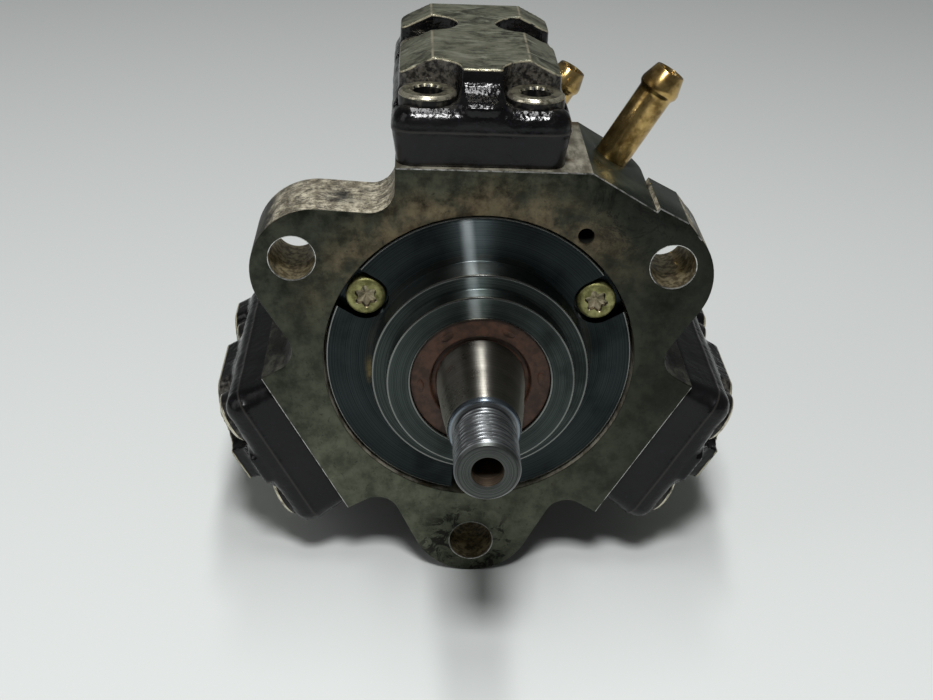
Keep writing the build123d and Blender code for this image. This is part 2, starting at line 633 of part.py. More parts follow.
def inlet_valve():
    r = BARREL_BORE_R + INLET_PLATE_LAP
    low = BARREL_TOP_R - INLET_PLATE_THICKNESS
    return upright([(0, low), (r, low), (r, BARREL_TOP_R - 0.25), (r - 0.25, BARREL_TOP_R), (0, BARREL_TOP_R)])


def inlet_valve_spring():
    low = VALVE_POCKET_R + TOUCH_GAP
    high = BARREL_TOP_R - INLET_PLATE_THICKNESS - TOUCH_GAP
    mean_r = BARREL_BORE_R + 0.7
    return Pos(0, CYLINDER_Y, 0) * coil(mean_r, 0.4, low, high, 2.5)


def outlet_ball():
    r = OUTLET_BALL / 2
    return Pos(0, OUTLET_VALVE_Y, OUTLET_SEAT_R - r - 0.35) * Sphere(r)


def outlet_spring():
    low = SEAT_R + 0.1
    high = OUTLET_SEAT_R - OUTLET_BALL - 0.35 + 0.6
    mean_r = OUTLET_BALL / 2 - OUTLET_SPRING_WIRE / 2 - 0.5
    return Pos(0, OUTLET_VALVE_Y, 0) * coil(mean_r, OUTLET_SPRING_WIRE, low, high, 5)


def cylinder_head():
    """Cast head: drafted foot, rounded shoulder, and the cross-shaped tower between the screw pockets."""
    middle_y = HEAD_FRONT + HEAD_LENGTH / 2
    foot_w = HEAD_WIDTH - 2 * HEAD_DRAFT
    foot_l = HEAD_LENGTH - 2 * HEAD_DRAFT
    foot_height = HEAD_PARTING_R - SEAT_R
    draft = degrees(atan2(HEAD_DRAFT, foot_height))
    foot = Plane((HEAD_SHIFT, middle_y, SEAT_R)) * RectangleRounded(foot_w, foot_l, HEAD_CORNER)
    head = extrude(foot, amount=foot_height, taper=-draft)
    shoulder = Plane((HEAD_SHIFT, middle_y, HEAD_PARTING_R))
    shoulder *= RectangleRounded(HEAD_WIDTH, HEAD_LENGTH, HEAD_CORNER + HEAD_DRAFT)
    shoulder = extrude(shoulder, amount=HEAD_LEDGE_R - HEAD_PARTING_R)
    shoulder = fillet(shoulder.faces().sort_by(Axis.Z)[-1].edges(), HEAD_SHOULDER_ROUND)
    head += shoulder

    wide = HEAD_TOWER_HALF
    tower_front = HEAD_FRONT + HEAD_TOWER_INSET
    tower_back = HEAD_FRONT + HEAD_LENGTH - HEAD_TOWER_INSET
    plan = Pos(HEAD_SHIFT, (tower_front + tower_back) / 2) * Rectangle(2 * wide, tower_back - tower_front)
    for side in (-1, 1):
        x = side * HEAD_SCREW_X + HEAD_SHIFT
        for y in HEAD_SCREW_Y:
            plan -= Pos(x, y) * Circle(POCKET_R)
            plan -= Pos(x + side * HEAD_WIDTH / 2, y) * Rectangle(HEAD_WIDTH, 2 * POCKET_R)
            if y == HEAD_SCREW_Y[0]:
                reach = HEAD_SCREW_Y[0] + 5
                plan -= Pos(x, y - reach / 2) * Rectangle(2 * POCKET_R, reach)
                plan -= Pos(x + side * 10, y - reach / 2) * Rectangle(20, reach)
    outer = [v for v in plan.vertices() if abs(v.X - HEAD_SHIFT) > wide - 0.1]
    plan = fillet(outer, HEAD_TOWER_CORNER)
    tip = [v for v in plan.vertices() if v.Y < tower_front + 0.1]
    plan = fillet(tip, HEAD_TONGUE_CORNER)
    tower = extrude(Pos(0, 0, HEAD_PARTING_R) * plan, amount=HEAD_TOP_R - HEAD_PARTING_R)
    flare_top = HEAD_LEDGE_R + HEAD_TONGUE_FLARE
    flare_half = HEAD_SCREW_X - POCKET_R
    flare = Polyline((-flare_half - HEAD_TONGUE_FLARE, HEAD_LEDGE_R), (-flare_half - 0.7, HEAD_LEDGE_R + 0.7),
                     (-flare_half, flare_top), (flare_half, flare_top), (flare_half + 0.7, HEAD_LEDGE_R + 0.7),
                     (flare_half + HEAD_TONGUE_FLARE, HEAD_LEDGE_R), close=True)
    tower += prism(Pos(HEAD_SHIFT, 0) * make_face(flare), tower_front + HEAD_TONGUE_CORNER, HEAD_SCREW_Y[0])
    for side in (-1, 1):
        edge = Polyline((side * wide, HEAD_FACET_R), (side * HEAD_TOP_HALF, HEAD_TOP_R),
                        (side * HEAD_TOP_HALF, HEAD_TOP_R + 1), (side * (wide + 1), HEAD_TOP_R + 1),
                        (side * (wide + 1), HEAD_FACET_R), close=True)
        tower -= prism(Pos(HEAD_SHIFT, 0) * make_face(edge), tower_front - 1, tower_back + 1)
    lean_back = tower_front + HEAD_RIB_LEAN
    lean = make_face(Plane.YZ * Polyline((tower_front - 1, HEAD_RIB_LEAN_R - 1), (tower_front, HEAD_RIB_LEAN_R),
                                         (lean_back - 2.4, HEAD_TOP_R - 1.1), (lean_back, HEAD_TOP_R),
                                         (lean_back, HEAD_TOP_R + 1), (tower_front - 1, HEAD_TOP_R + 1), close=True))
    tower -= Pos(-HEAD_WIDTH / 2, 0, 0) * extrude(lean, amount=HEAD_WIDTH)
    head += tower

    for x, y in head_screw_places():
        head -= post(SPOTFACE_R, HEAD_SCREW_SEAT_R, HEAD_TOP_R, x, y)
        head -= post(HEAD_SCREW_THREAD / 2 + SCREW_HOLE_GAP, SEAT_R, HEAD_SCREW_SEAT_R, x, y)
    head -= post(BARREL_DIAMETER / 2, SEAT_R, BARREL_TOP_R)
    head -= post(OUTLET_BORE / 2, SEAT_R, OUTLET_SEAT_R - 1.2, 0, OUTLET_VALVE_Y)
    head -= upright([(0, OUTLET_SEAT_R - 1.2), (OUTLET_BORE / 2, OUTLET_SEAT_R - 1.2), (1.1, OUTLET_SEAT_R),
                     (1.1, CROSS_DRILLING_R), (0, CROSS_DRILLING_R)], OUTLET_VALVE_Y)
    drilling = prism(Pos(0, CROSS_DRILLING_R) * Circle(CROSS_DRILLING / 2), CYLINDER_Y, HEAD_LENGTH + 1)
    head -= drilling
    head -= plug_seat()
    return head


def plug_seat():
    """Counterbore for the ball that closes the cross drilling."""
    back = HEAD_FRONT + HEAD_LENGTH
    return prism(Pos(0, CROSS_DRILLING_R) * Circle(OUTLET_BALL / 2), back - 6.4, back)


def outlet_plug():
    back = HEAD_FRONT + HEAD_LENGTH
    return Pos(0, back - 1.4 - OUTLET_BALL / 2 - 0.2, CROSS_DRILLING_R) * Sphere(OUTLET_BALL / 2 - TOUCH_GAP)


def head_screws():
    """Four socket-head screws of the top head."""
    head_r = HEAD_SCREW_HEAD / 2
    seat = HEAD_SCREW_SEAT_R
    top = seat + HEAD_SCREW_HEAD_HEIGHT
    shank = HEAD_SCREW_THREAD / 2 - TOUCH_GAP
    screw = upright([(0, HEAD_SCREW_TIP_R), (shank, HEAD_SCREW_TIP_R), (shank, seat), (head_r, seat),
                     (head_r, top - 0.6), (head_r - 0.6, top), (0, top)], 0)
    screw -= Pos(0, 0, top - 4.5) * extrude(hexagon(HEAD_SCREW_SOCKET), amount=4.5)
    return [Pos(x, y, 0) * screw for x, y in head_screw_places()]


# ---------------------------------------------------------------- nipples, safety valve, connector
def nipple(plane, sunk):
    """Hose nipple with a barbed end, pressed into a face."""
    r = NIPPLE_OUTER / 2
    bore = NIPPLE_BORE / 2
    bulge = NIPPLE_BULGE / 2
    end = NIPPLE_END / 2
    barb = NIPPLE_HEIGHT - NIPPLE_CONE
    outline = [(bore, -sunk), (r, -sunk), (r, barb - 0.8), (bulge, barb), (bulge, barb + 1.2),
               (end, NIPPLE_HEIGHT), (bore, NIPPLE_HEIGHT)]
    body = revolve(make_face(Plane.XZ * Polyline(*outline, close=True)), Axis.Z)
    return plane.location * body


def inlet_nipple():
    sunk = BOSS_FACE_R - SAFETY_R - SAFETY_BORE / 2 - 0.6
    return nipple(outward(BOSS_ANGLE, INLET_T, INLET_Y, BOSS_FACE_R), sunk)


def return_nipple():
    return nipple(outward(BOSS_ANGLE, RETURN_T, RETURN_Y, RETURN_FACE_R), NIPPLE_SUNK)


def safety_valve_piston():
    r = SAFETY_BORE / 2 - SLIDE_GAP
    front = SAFETY_BORE_FRONT + 2
    back = front + SAFETY_PISTON_LENGTH
    piston = turned([(0, front), (r - 0.4, front), (r, front + 0.4), (r, back), (r - 1.4, back),
                     (r - 1.4, back - 4.5), (0, back - 4.5)])
    return safety_axis() * piston


def safety_spring_span():
    piston_floor = SAFETY_BORE_FRONT + 2 + SAFETY_PISTON_LENGTH - 4.5
    return piston_floor + TOUCH_GAP, SAFETY_REAR - SAFETY_PLUG_LENGTH - TOUCH_GAP


def safety_valve_spring():
    low, high = safety_spring_span()
    spring = coil(2.3, SAFETY_SPRING_WIRE, low, high, 6)
    return safety_axis() * Rot(-90, 0, 0) * spring


def safety_valve_plug():
    r = SAFETY_BORE / 2 - TOUCH_GAP
    front = SAFETY_REAR - SAFETY_PLUG_LENGTH
    plug = turned([(0, front), (r - 0.6, front), (r, front + 0.6), (r, SAFETY_REAR), (0, SAFETY_REAR)])
    plug -= prism(hexagon(5), SAFETY_REAR - 3, SAFETY_REAR)
    return safety_axis() * plug


def outlet_connector():
    """Pipe connector: thread in the boss, hexagon, thread for the pipe nut and a sealing cone."""
    r = CONNECTOR_THREAD / 2 - TOUCH_GAP
    bore = CONNECTOR_BORE / 2
    top = CONNECTOR_HEIGHT
    outline = [(bore, -CONNECTOR_SUNK), (r - 0.8, -CONNECTOR_SUNK), (r, -CONNECTOR_SUNK + 0.8), (r, 0),
               (r, 7), (r - 1, 8.2), (r - 1, 9.4), (r, 10.2), (r, top - 0.8), (r - 0.8, top), (4.6, top),
               (bore, top - 4)]
    body = revolve(make_face(Plane.XZ * Polyline(*outline, close=True)), Axis.Z)
    body += extrude(hexagon(CONNECTOR_HEX) - Circle(bore), amount=6)
    return outward(270, 0, CONNECTOR_Y, CONNECTOR_FACE_R).location * body


# ---------------------------------------------------------------- pressure control valve
def valve_screw_places():
    return [direction(angle + 180) * VALVE_SCREW_R for angle in EAR_ANGLES]


def control_valve_body():
    """Nose in the hub bore, three-cornered plate and the tube that the coil slides on."""
    nose = VALVE_NOSE / 2 - BARREL_FIT
    front = HUB_BACK - VALVE_NOSE_LENGTH
    tube = VALVE_TUBE / 2
    groove = front + 4
    bore = ARMATURE_DIAMETER / 2 + SLIDE_GAP
    inner = HUB_BACK + 2
    tube_end = PLATE_BACK + VALVE_TUBE_LENGTH
    seat_r = 4.0
    outline = [(seat_r, front), (nose - 0.5, front), (nose, front + 0.5), (nose, groove), (nose - 1.4, groove),
               (nose - 1.4, groove + 2), (nose, groove + 2), (nose, HUB_BACK), (nose, PLATE_BACK),
               (tube, PLATE_BACK), (tube, tube_end), (0, tube_end), (0, tube_end - 2), (bore, tube_end - 2),
               (bore, inner), (2.2, inner), (2.2, front + 5), (seat_r, front + 5)]
    body = turned(outline)
    plate = Circle(VALVE_PLATE_R)
    arm = Pos(VALVE_SCREW_R / 2, 0) * Rectangle(VALVE_SCREW_R, 2 * VALVE_LUG_R)
    lug = arm + Pos(VALVE_SCREW_R, 0) * Circle(VALVE_LUG_R)
    for angle in EAR_ANGLES:
        plate += Rot(0, 0, angle + 180) * lug
    plate -= Circle(nose)
    for centre in valve_screw_places():
        plate -= Pos(centre.X, centre.Z) * Circle(VALVE_SCREW_THREAD / 2 + 0.3)
    return body + prism(plate, HUB_BACK, PLATE_BACK)


def control_valve_o_ring():
    groove = HUB_BACK - VALVE_NOSE_LENGTH + 5
    centre_r = VALVE_NOSE / 2 - BARREL_FIT - 0.7
    return Pos(0, groove, 0) * Rot(90, 0, 0) * o_ring(centre_r, 0.66)


def control_valve_seat():
    front = HUB_BACK - VALVE_NOSE_LENGTH
    r = 4.0 - TOUCH_GAP
    return turned([(0.6, front), (r, front), (r, front + 5), (2.0, front + 5), (2.0, front + 4), (0.6, front + 3)])


def control_valve_ball():
    front = HUB_BACK - VALVE_NOSE_LENGTH
    return Pos(0, front + 4.9, 0) * Sphere(1.5)


def control_valve_armature():
    """Armature with its pin, which presses the ball on its seat."""
    r = ARMATURE_DIAMETER / 2
    ball_back = HUB_BACK - VALVE_NOSE_LENGTH + 4.9 + 1.5
    front = HUB_BACK + 2 + 1.0
    back = PLATE_BACK + VALVE_TUBE_LENGTH - 2 - 6
    return turned([(0, ball_back), (1.3, ball_back), (1.3, front), (r, front), (r, back), (0, back)])


def control_valve_spring():
    low = PLATE_BACK + VALVE_TUBE_LENGTH - 2 - 6 + TOUCH_GAP
    high = PLATE_BACK + VALVE_TUBE_LENGTH - 2 - TOUCH_GAP
    return Rot(-90, 0, 0) * coil(2.8, 0.8, low, high, 4)


def control_valve_coil():
    """Overmoulded coil with its plug collar pointing up."""
    r = COIL_DIAMETER / 2
    bore = VALVE_TUBE / 2 + TOUCH_GAP
    front = PLATE_BACK + 0.2
    back = front + COIL_LENGTH
    body = turned([(bore, front), (r - 1, front), (r, front + 1), (r, back - 1.5), (r - 1.5, back), (bore, back)])
    middle = front + COIL_LENGTH / 2
    collar = Plane((0, middle, 0)) * RectangleRounded(PLUG_WIDTH + 2 * PLUG_WALL, PLUG_DEPTH + 2 * PLUG_WALL, 2.5)
    block = extrude(collar, amount=PLUG_HEIGHT) - rod(r - 2, front, back)
    body += block
    body -= extrude(Plane((0, middle, PLUG_HEIGHT - 9)) * RectangleRounded(PLUG_WIDTH, PLUG_DEPTH, 1.5), amount=9)
    return body


def contact_pins():
    middle = PLATE_BACK + 0.2 + COIL_LENGTH / 2
    low = PLUG_HEIGHT - 9
    pin = Plane((0, middle, low)) * Rectangle(0.8, 2.8)
    return Compound([Pos(x, 0, 0) * extrude(pin, amount=7) for x in (-3.2, 3.2)])


def control_valve_screws():
    r = VALVE_SCREW_THREAD / 2 - TOUCH_GAP
    head = 4.25
    seat = PLATE_BACK
    tip = seat - VALVE_SCREW_LENGTH
    screw = turned([(0, tip), (r, tip), (r, seat), (head, seat), (head, seat + 4.4), (head - 0.6, seat + 5),
                    (0, seat + 5)])
    screw -= prism(RegularPolygon(2.2, 6), seat + 2.4, seat + 5)
    return Compound([Pos(p.X, 0, p.Z) * screw for p in valve_screw_places()])


# ---------------------------------------------------------------- assembly
def all_parts():
    parts = {
        "pump_housing": pump_housing(),
        "front_cover": front_cover(),
        "cover_screws": cover_screws(),
        "cover_o_ring": cover_o_ring(),
        "shaft_seal": shaft_seal(),
        "seal_garter_spring": seal_garter_spring(),
        "front_bush": front_bush(),
        "rear_bush": rear_bush(),
        "drive_shaft": drive_shaft(),
        "polygon_ring": polygon_ring(),
        "ring_bush": ring_bush(),
        "thrust_washers": thrust_washers(),
        "inlet_nipple": inlet_nipple(),
        "return_nipple": return_nipple(),
        "outlet_connector": outlet_connector(),
        "safety_valve_piston": safety_valve_piston(),
        "safety_valve_spring": safety_valve_spring(),
        "safety_valve_plug": safety_valve_plug(),
        "control_valve_body": control_valve_body(),
        "control_valve_o_ring": control_valve_o_ring(),
        "control_valve_seat": control_valve_seat(),
        "control_valve_ball": control_valve_ball(),
        "control_valve_armature": control_valve_armature(),
        "control_valve_spring": control_valve_spring(),
        "control_valve_coil": control_valve_coil(),
        "control_valve_screws": control_valve_screws(),
        "contact_pins": contact_pins(),
    }
    head = cylinder_head()
    barrel = cylinder_barrel()
    screws = head_screws()
    for name, angle in HEAD_ANGLES.items():
        parts[f"cylinder_head_{name}"] = at_angle(head, angle)
        parts[f"head_screws_{name}"] = Compound([at_angle(screw, angle) for screw in screws])
        parts[f"cylinder_barrel_{name}"] = at_angle(barrel, angle)
        parts[f"plunger_{name}"] = at_angle(plunger(angle), angle)
        parts[f"plunger_foot_{name}"] = at_angle(plunger_foot(angle), angle)
        parts[f"plunger_spring_{name}"] = at_angle(plunger_spring(angle), angle)
        parts[f"inlet_valve_{name}"] = at_angle(inlet_valve(), angle)
        parts[f"inlet_valve_spring_{name}"] = at_angle(inlet_valve_spring(), angle)
        parts[f"outlet_ball_{name}"] = at_angle(outlet_ball(), angle)
        parts[f"outlet_spring_{name}"] = at_angle(outlet_spring(), angle)
    angles = HEAD_ANGLES.values()
    parts["outlet_plugs"] = Compound([at_angle(outlet_plug(), angle) for angle in angles])
    parts["barrel_o_rings"] = Compound([at_angle(barrel_o_ring(), angle) for angle in angles])
    return parts


os.makedirs("parts", exist_ok=True)
for node, shape in all_parts().items():
    export_step(shape, f"parts/{node}.step")
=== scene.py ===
# %% [markdown]
# A diesel injection pump, seen from its drive end.
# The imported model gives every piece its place.
# This script gives the pieces their edges, threads and finishes, and sets up the camera and lights.

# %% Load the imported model
import json
import math

import bmesh
import bpy
from mathutils import Matrix, Vector, noise as lumps


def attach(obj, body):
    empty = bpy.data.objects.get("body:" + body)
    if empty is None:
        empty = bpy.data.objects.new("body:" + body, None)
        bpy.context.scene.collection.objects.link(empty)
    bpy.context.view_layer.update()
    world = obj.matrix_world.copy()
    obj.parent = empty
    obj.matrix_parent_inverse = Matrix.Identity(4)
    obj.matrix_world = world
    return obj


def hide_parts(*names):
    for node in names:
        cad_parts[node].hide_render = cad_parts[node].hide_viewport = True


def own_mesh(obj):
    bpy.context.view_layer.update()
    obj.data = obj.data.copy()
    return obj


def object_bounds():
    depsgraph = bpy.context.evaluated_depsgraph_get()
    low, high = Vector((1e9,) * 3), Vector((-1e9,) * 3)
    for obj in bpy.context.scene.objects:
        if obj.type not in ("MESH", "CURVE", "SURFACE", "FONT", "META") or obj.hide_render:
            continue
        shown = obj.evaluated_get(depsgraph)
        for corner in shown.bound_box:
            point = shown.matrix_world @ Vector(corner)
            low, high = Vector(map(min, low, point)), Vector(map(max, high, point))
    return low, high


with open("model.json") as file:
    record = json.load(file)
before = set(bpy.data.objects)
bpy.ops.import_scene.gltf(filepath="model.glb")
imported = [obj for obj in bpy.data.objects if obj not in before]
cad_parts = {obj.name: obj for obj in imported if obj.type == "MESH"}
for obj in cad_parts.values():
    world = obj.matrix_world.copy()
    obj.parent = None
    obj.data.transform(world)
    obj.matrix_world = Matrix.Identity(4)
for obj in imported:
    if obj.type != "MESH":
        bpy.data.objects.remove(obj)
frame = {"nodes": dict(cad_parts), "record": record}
nodes = frame["nodes"]
cad_low, cad_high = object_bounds()
MM = 0.001
print("nodes", len(nodes), "from", tuple(cad_low), "to", tuple(cad_high))

# %% [markdown]
# The camera stands in front of the shaft, a little left of it, and looks down at the pump by 27 degrees.
# A long-ish lens from about 35 cm keeps the strong perspective of a close view.

# %% Camera
FRAME_WIDTH, FOCAL_PIXELS, SENSOR = 933.0, 1500.0, 36.0
camera_data = bpy.data.cameras.new("camera")
camera_data.sensor_width = SENSOR
camera_data.lens = SENSOR * FOCAL_PIXELS / FRAME_WIDTH
camera_data.clip_start = 0.01
camera_data.clip_end = 20.0
camera = bpy.data.objects.new("camera", camera_data)
bpy.context.scene.collection.objects.link(camera)
forward = Vector((0.04224175, 0.89364555, -0.44678101))
up = Vector((-0.02054147, 0.44786244, 0.89386648))
right = forward.cross(up).normalized()
turn = Matrix((right, up, -forward)).transposed()
camera.matrix_world = Matrix.Translation(Vector((-17.769, -312.110, 158.912)) * MM) @ turn.to_4x4()
bpy.context.scene.camera = camera
print("lens", round(camera_data.lens, 2), "mm")

# %% [markdown]
# The pump stands on its bottom ear and the two lower heads, on a plain pale floor.
# A small bright key panel stands high in front,
# so it draws bright lines along rounded edges and down turned steel.
# A long narrow panel overhead runs with the shaft, and draws the line of light along it.
# A weak wide panel on the left opens up the shadows.

# %% Floor
FLOOR_Z = cad_low.z
scene = bpy.context.scene
scene.view_settings.view_transform = "Standard"


def object_of(name, mesh, finishes=()):
    """A new object in the scene with that bmesh, which is then freed."""
    data = bpy.data.meshes.new(name)
    mesh.to_mesh(data)
    mesh.free()
    for finish in finishes:
        data.materials.append(finish)
    made = bpy.data.objects.new(name, data)
    scene.collection.objects.link(made)
    return made


def new_finish(name):
    """A new material and its Principled shader."""
    material = bpy.data.materials.new(name)
    material.use_nodes = True
    return material, material.node_tree.nodes["Principled BSDF"]


floor_finish, floor_shader = new_finish("pale floor")
floor_shader.inputs["Base Color"].default_value = (0.55, 0.57, 0.56, 1)
floor_shader.inputs["Roughness"].default_value = 0.6
floor_mesh = bmesh.new()
bmesh.ops.create_grid(floor_mesh, x_segments=1, y_segments=1, size=6.0)
bmesh.ops.translate(floor_mesh, verts=floor_mesh.verts, vec=(0, 0, FLOOR_Z))
object_of("floor", floor_mesh, [floor_finish])


print("floor at", round(FLOOR_Z, 4))

# %% Lights


def panel_light(name, place, target, width, height, power):
    """A rectangular lamp that looks at a target."""
    data = bpy.data.lights.new(name, "AREA")
    data.shape = "RECTANGLE"
    data.size = width
    data.size_y = height
    data.energy = power
    lamp = bpy.data.objects.new(name, data)
    lamp.location = place
    aim = Vector(target) - Vector(place)
    lamp.rotation_mode = "QUATERNION"
    lamp.rotation_quaternion = aim.to_track_quat("-Z", "Y")
    lamp.visible_camera = False
    scene.collection.objects.link(lamp)


panel_light("key", (-0.04, -0.50, 0.80), (0, 0, 0), 0.20, 0.20, 9.0)
panel_light("overhead", (0.0, 0.05, 1.0), (0, 0.0, 0), 0.10, 0.8, 5.0)
panel_light("left window", (-0.9, -0.35, 0.5), (0, 0, 0), 0.5, 0.8, 1.8)
world = bpy.data.worlds.new("studio")
scene.world = world
world.use_nodes = True
background = world.node_tree.nodes["Background"]
background.inputs["Color"].default_value = (0.80, 0.83, 0.82, 1)
background.inputs["Strength"].default_value = 0.14

# %% [markdown]
# Every finish is built from a few noise patterns that are read in Object coordinates.
# The small helpers below add one shader node each to the finish on the bench,
# so that each finish reads as a recipe.

# %% Nodes on the bench
bench = {}


def link_or_set(value, target):
    """Links a socket to a target, or writes a plain value there."""
    if isinstance(value, bpy.types.NodeSocket):
        bench["tree"].links.new(value, target)
    else:
        target.default_value = value


def add(kind, *values, **settings):
    """Adds a shader node, with its first sockets filled in order and its named settings and sockets."""
    node = bench["tree"].nodes.new(kind)
    for name, value in settings.items():
        if hasattr(node, name):
            setattr(node, name, value)
        else:
            link_or_set(value, node.inputs[name.replace("_", " ")])
    for number, value in enumerate(values):
        link_or_set(value, node.inputs[number])
    return node


def fill(name, value):
    """Gives one socket of the shader on the bench a value or a pattern."""
    link_or_set(value, bench["shader"].inputs[name])


print("bench ready for", bpy.app.version_string)

# %% Patterns


def here():
    """Object coordinates."""
    return add("ShaderNodeTexCoord").outputs["Object"]


def place_of(stretch=(1, 1, 1), turn=(0, 0, 0)):
    """Object coordinates, stretched and turned for a directional pattern."""
    return add("ShaderNodeMapping", Vector=here(), Scale=stretch, Rotation=turn).outputs["Vector"]


def noise(scale, detail=4.0, roughness=0.55, place=None, warp=0.0):
    """Noise in Object coordinates; scale is in cycles per metre."""
    return add("ShaderNodeTexNoise", Vector=place or place_of(), Scale=scale, Detail=detail,
               Roughness=roughness, Distortion=warp).outputs["Fac"]


def ramp(value, low, high, start=0.0, end=1.0):
    """Maps a value from low..high to start..end, with smooth ends."""
    return add("ShaderNodeMapRange", interpolation_type="SMOOTHSTEP", Value=value, From_Min=low,
               From_Max=high, To_Min=start, To_Max=end).outputs["Result"]


def mix(amount, first, second):
    """Mixes two colours."""
    node = add("ShaderNodeMix", data_type="RGBA")
    for number, value in ((0, amount), (6, first), (7, second)):
        link_or_set(value, node.inputs[number])
    return node.outputs[2]


print("patterns: noise, ramp and mix")

# %% Arithmetic


def sums(kind, first, second=0.0):
    """Arithmetic on two numbers."""
    return add("ShaderNodeMath", first, second, operation=kind).outputs[0]


def times(first, *others):
    """The product of numbers."""
    for other in others:
        first = sums("MULTIPLY", first, other)
    return first


def plus(first, second):
    """The sum of two numbers."""
    return sums("ADD", first, second)


def minus(first, second):
    """The difference of two numbers."""
    return sums("SUBTRACT", first, second)


def most(first, second):
    """The larger of two numbers."""
    return sums("MAXIMUM", first, second)


def size(value):
    """A number without its sign."""
    return sums("ABSOLUTE", value)


print("arithmetic: plus, minus, times, most and size")

# %% Places, relief and a plain metal to start from


def reach(direction):
    """How far a point lies along a direction, in metres."""
    return add("ShaderNodeVectorMath", here(), direction, operation="DOT_PRODUCT").outputs["Value"]


def bump(height, distance, strength=1.0, under=None):
    """Bump of a given depth in metres."""
    node = add("ShaderNodeBump", Height=height, Distance=distance, Strength=strength)
    if under is not None:
        link_or_set(under, node.inputs["Normal"])
    return node.outputs["Normal"]


def colour(red, green, blue):
    """An opaque linear colour."""
    return (red, green, blue, 1.0)


def metal(name, metallic=1.0, roughness=0.4):
    """Puts a new finish with a plain metal base on the bench."""
    material, shader = new_finish(name)
    bench.update(tree=material.node_tree, shader=shader)
    fill("Metallic", metallic)
    fill("Roughness", roughness)
    return material


print("places: reach; relief: bump")

# %% [markdown]
# The housing is grey iron. Its front face was turned flat and has been handled with oily gloves.
# Broad clouds of dark oil lie over an olive-grey metal,
# with rusty brown round the cover and fine black specks.

# %% Machined iron


def near(middle, inner, outer):
    """1 close to a point, falling to 0 between two distances in millimetres."""
    centre = [c * MM for c in middle]
    away = add("ShaderNodeVectorMath", here(), centre, operation="DISTANCE").outputs["Value"]
    return ramp(away, inner * MM, outer * MM, 1, 0)


iron_face = metal("machined iron face", 0.8, 0.42)
cloud = ramp(noise(48, 8, 0.62, warp=0.5), 0.34, 0.66)
lower_left = ramp(reach((-0.5, 0, -0.85)), -0.035, 0.045)
oil = plus(times(cloud, 0.35), times(lower_left, 0.70))
mottle = ramp(noise(230, 6, 0.68), 0.34, 0.66)
specks = ramp(noise(520, 6, 0.78, warp=0.5), 0.56, 0.66)
grain = noise(1500, 3, 0.6)
scratches = noise(300, 2, 0.5, place_of((1, 1, 16), (0, 0.6, 0)))
bare = mix(mottle, colour(0.048, 0.054, 0.036), colour(0.112, 0.120, 0.084))
oily = mix(mottle, colour(0.010, 0.012, 0.008), colour(0.036, 0.039, 0.027))
left_ear = ramp(reach((1, 0, -0.35)), -0.022, -0.048)
clean = times(oil, minus(1.0, times(left_ear, 0.75)))
tone = mix(clean, oily, bare)
right_side = ramp(reach((1, 0, 0)), 0.005, 0.042)
tone = mix(times(right_side, 0.62), tone, colour(0.006, 0.008, 0.005))
across, upward = reach((1, 0, 0)), reach((0, 0, 1))
from_shaft = sums("SQRT", plus(times(across, across), times(upward, upward)))
near_cover = ramp(from_shaft, 0.0375, 0.049, 1, 0)
rusty = ramp(noise(90, 7, 0.68, warp=0.4), 0.34, 0.60)
upper = ramp(minus(upward, times(across, 0.15)), 0.010, 0.036)
rust_share = times(near_cover, rusty, upper)
rust_tone = mix(mottle, colour(0.050, 0.035, 0.020), colour(0.185, 0.145, 0.085))
tone = mix(times(rust_share, 0.85), tone, rust_tone)
veins = size(minus(noise(120, 6, 0.7, warp=1.2), 0.5))
marks = times(ramp(veins, 0.0, 0.035, 1, 0), near((36, 0, 40), 6, 18))
blots = times(ramp(noise(210, 6, 0.72, warp=0.8), 0.50, 0.56), near((-1, 0, -52), 9, 15))
marks = most(marks, most(blots, times(specks, 0.6)))
tone = mix(times(marks, 0.9), tone, colour(0.006, 0.006, 0.005))
fill("Base Color", tone)
fill("Roughness", ramp(mottle, 0.0, 1.0, 0.30, 0.46))
fine = bump(grain, 0.00003, 0.5)
fill("Normal", bump(scratches, 0.00006, 0.4, fine))
print("machined face made")

# %% [markdown]
# The ears' sides were left as cast: a pale dusty skin with dark cracks and chips where oil collected. The pale
# tone is also painted light from above: it is kept to the top side and off the outer curve.
# The cracks come from the narrow band where a stretched noise crosses its middle value.

# %% Cast iron sides


def cracks(scale, width, place=None):
    """Thin dark lines, as a share from 0 to 1."""
    field = noise(scale, 5, 0.65, place, 0.8)
    away = size(minus(field, 0.5))
    return ramp(away, 0.0, width, 1.0, 0.0)


iron_cast = metal("cast iron side", 0.35, 0.55)
dust_and_painted_light = ramp(noise(75, 6, 0.65), 0.30, 0.46)
chips = noise(330, 6, 0.7, place_of((1, 0.6, 1)))
hairlines = cracks(420, 0.040, place_of((0.6, 1.4, 1), (0, 0, 0.4)))
lines = most(cracks(150, 0.030, place_of((0.5, 1.5, 1))), times(hairlines, 0.8))
# Painted light: only the top side, away from the outer curve, gets the pale tone, as if lit from above; the
# dust pattern breaks it up.
painted_top_light = ramp(reach((0, 0, 1)), 0.020, 0.038)
pale = mix(ramp(chips, 0.4, 0.62), colour(0.20, 0.175, 0.125), colour(0.50, 0.46, 0.35))
dark = mix(ramp(chips, 0.4, 0.62), colour(0.012, 0.012, 0.010), colour(0.055, 0.054, 0.042))
ragged = plus(reach((1, 0, 0)), times(chips, 0.004))
inner = ramp(ragged, -0.0475, -0.0445)
share = times(times(dust_and_painted_light, painted_top_light), times(inner, 0.95))
tone = mix(share, dark, pale)
tone = mix(times(lines, 0.85), tone, colour(0.012, 0.010, 0.008))
fill("Base Color", tone)
fill("Roughness", ramp(chips, 0.3, 0.7, 0.42, 0.66))
deep = bump(lines, 0.0004, -0.6)
fill("Normal", bump(chips, 0.0005, 0.7, deep))
print("cast sides use", len(bench["tree"].nodes), "nodes")

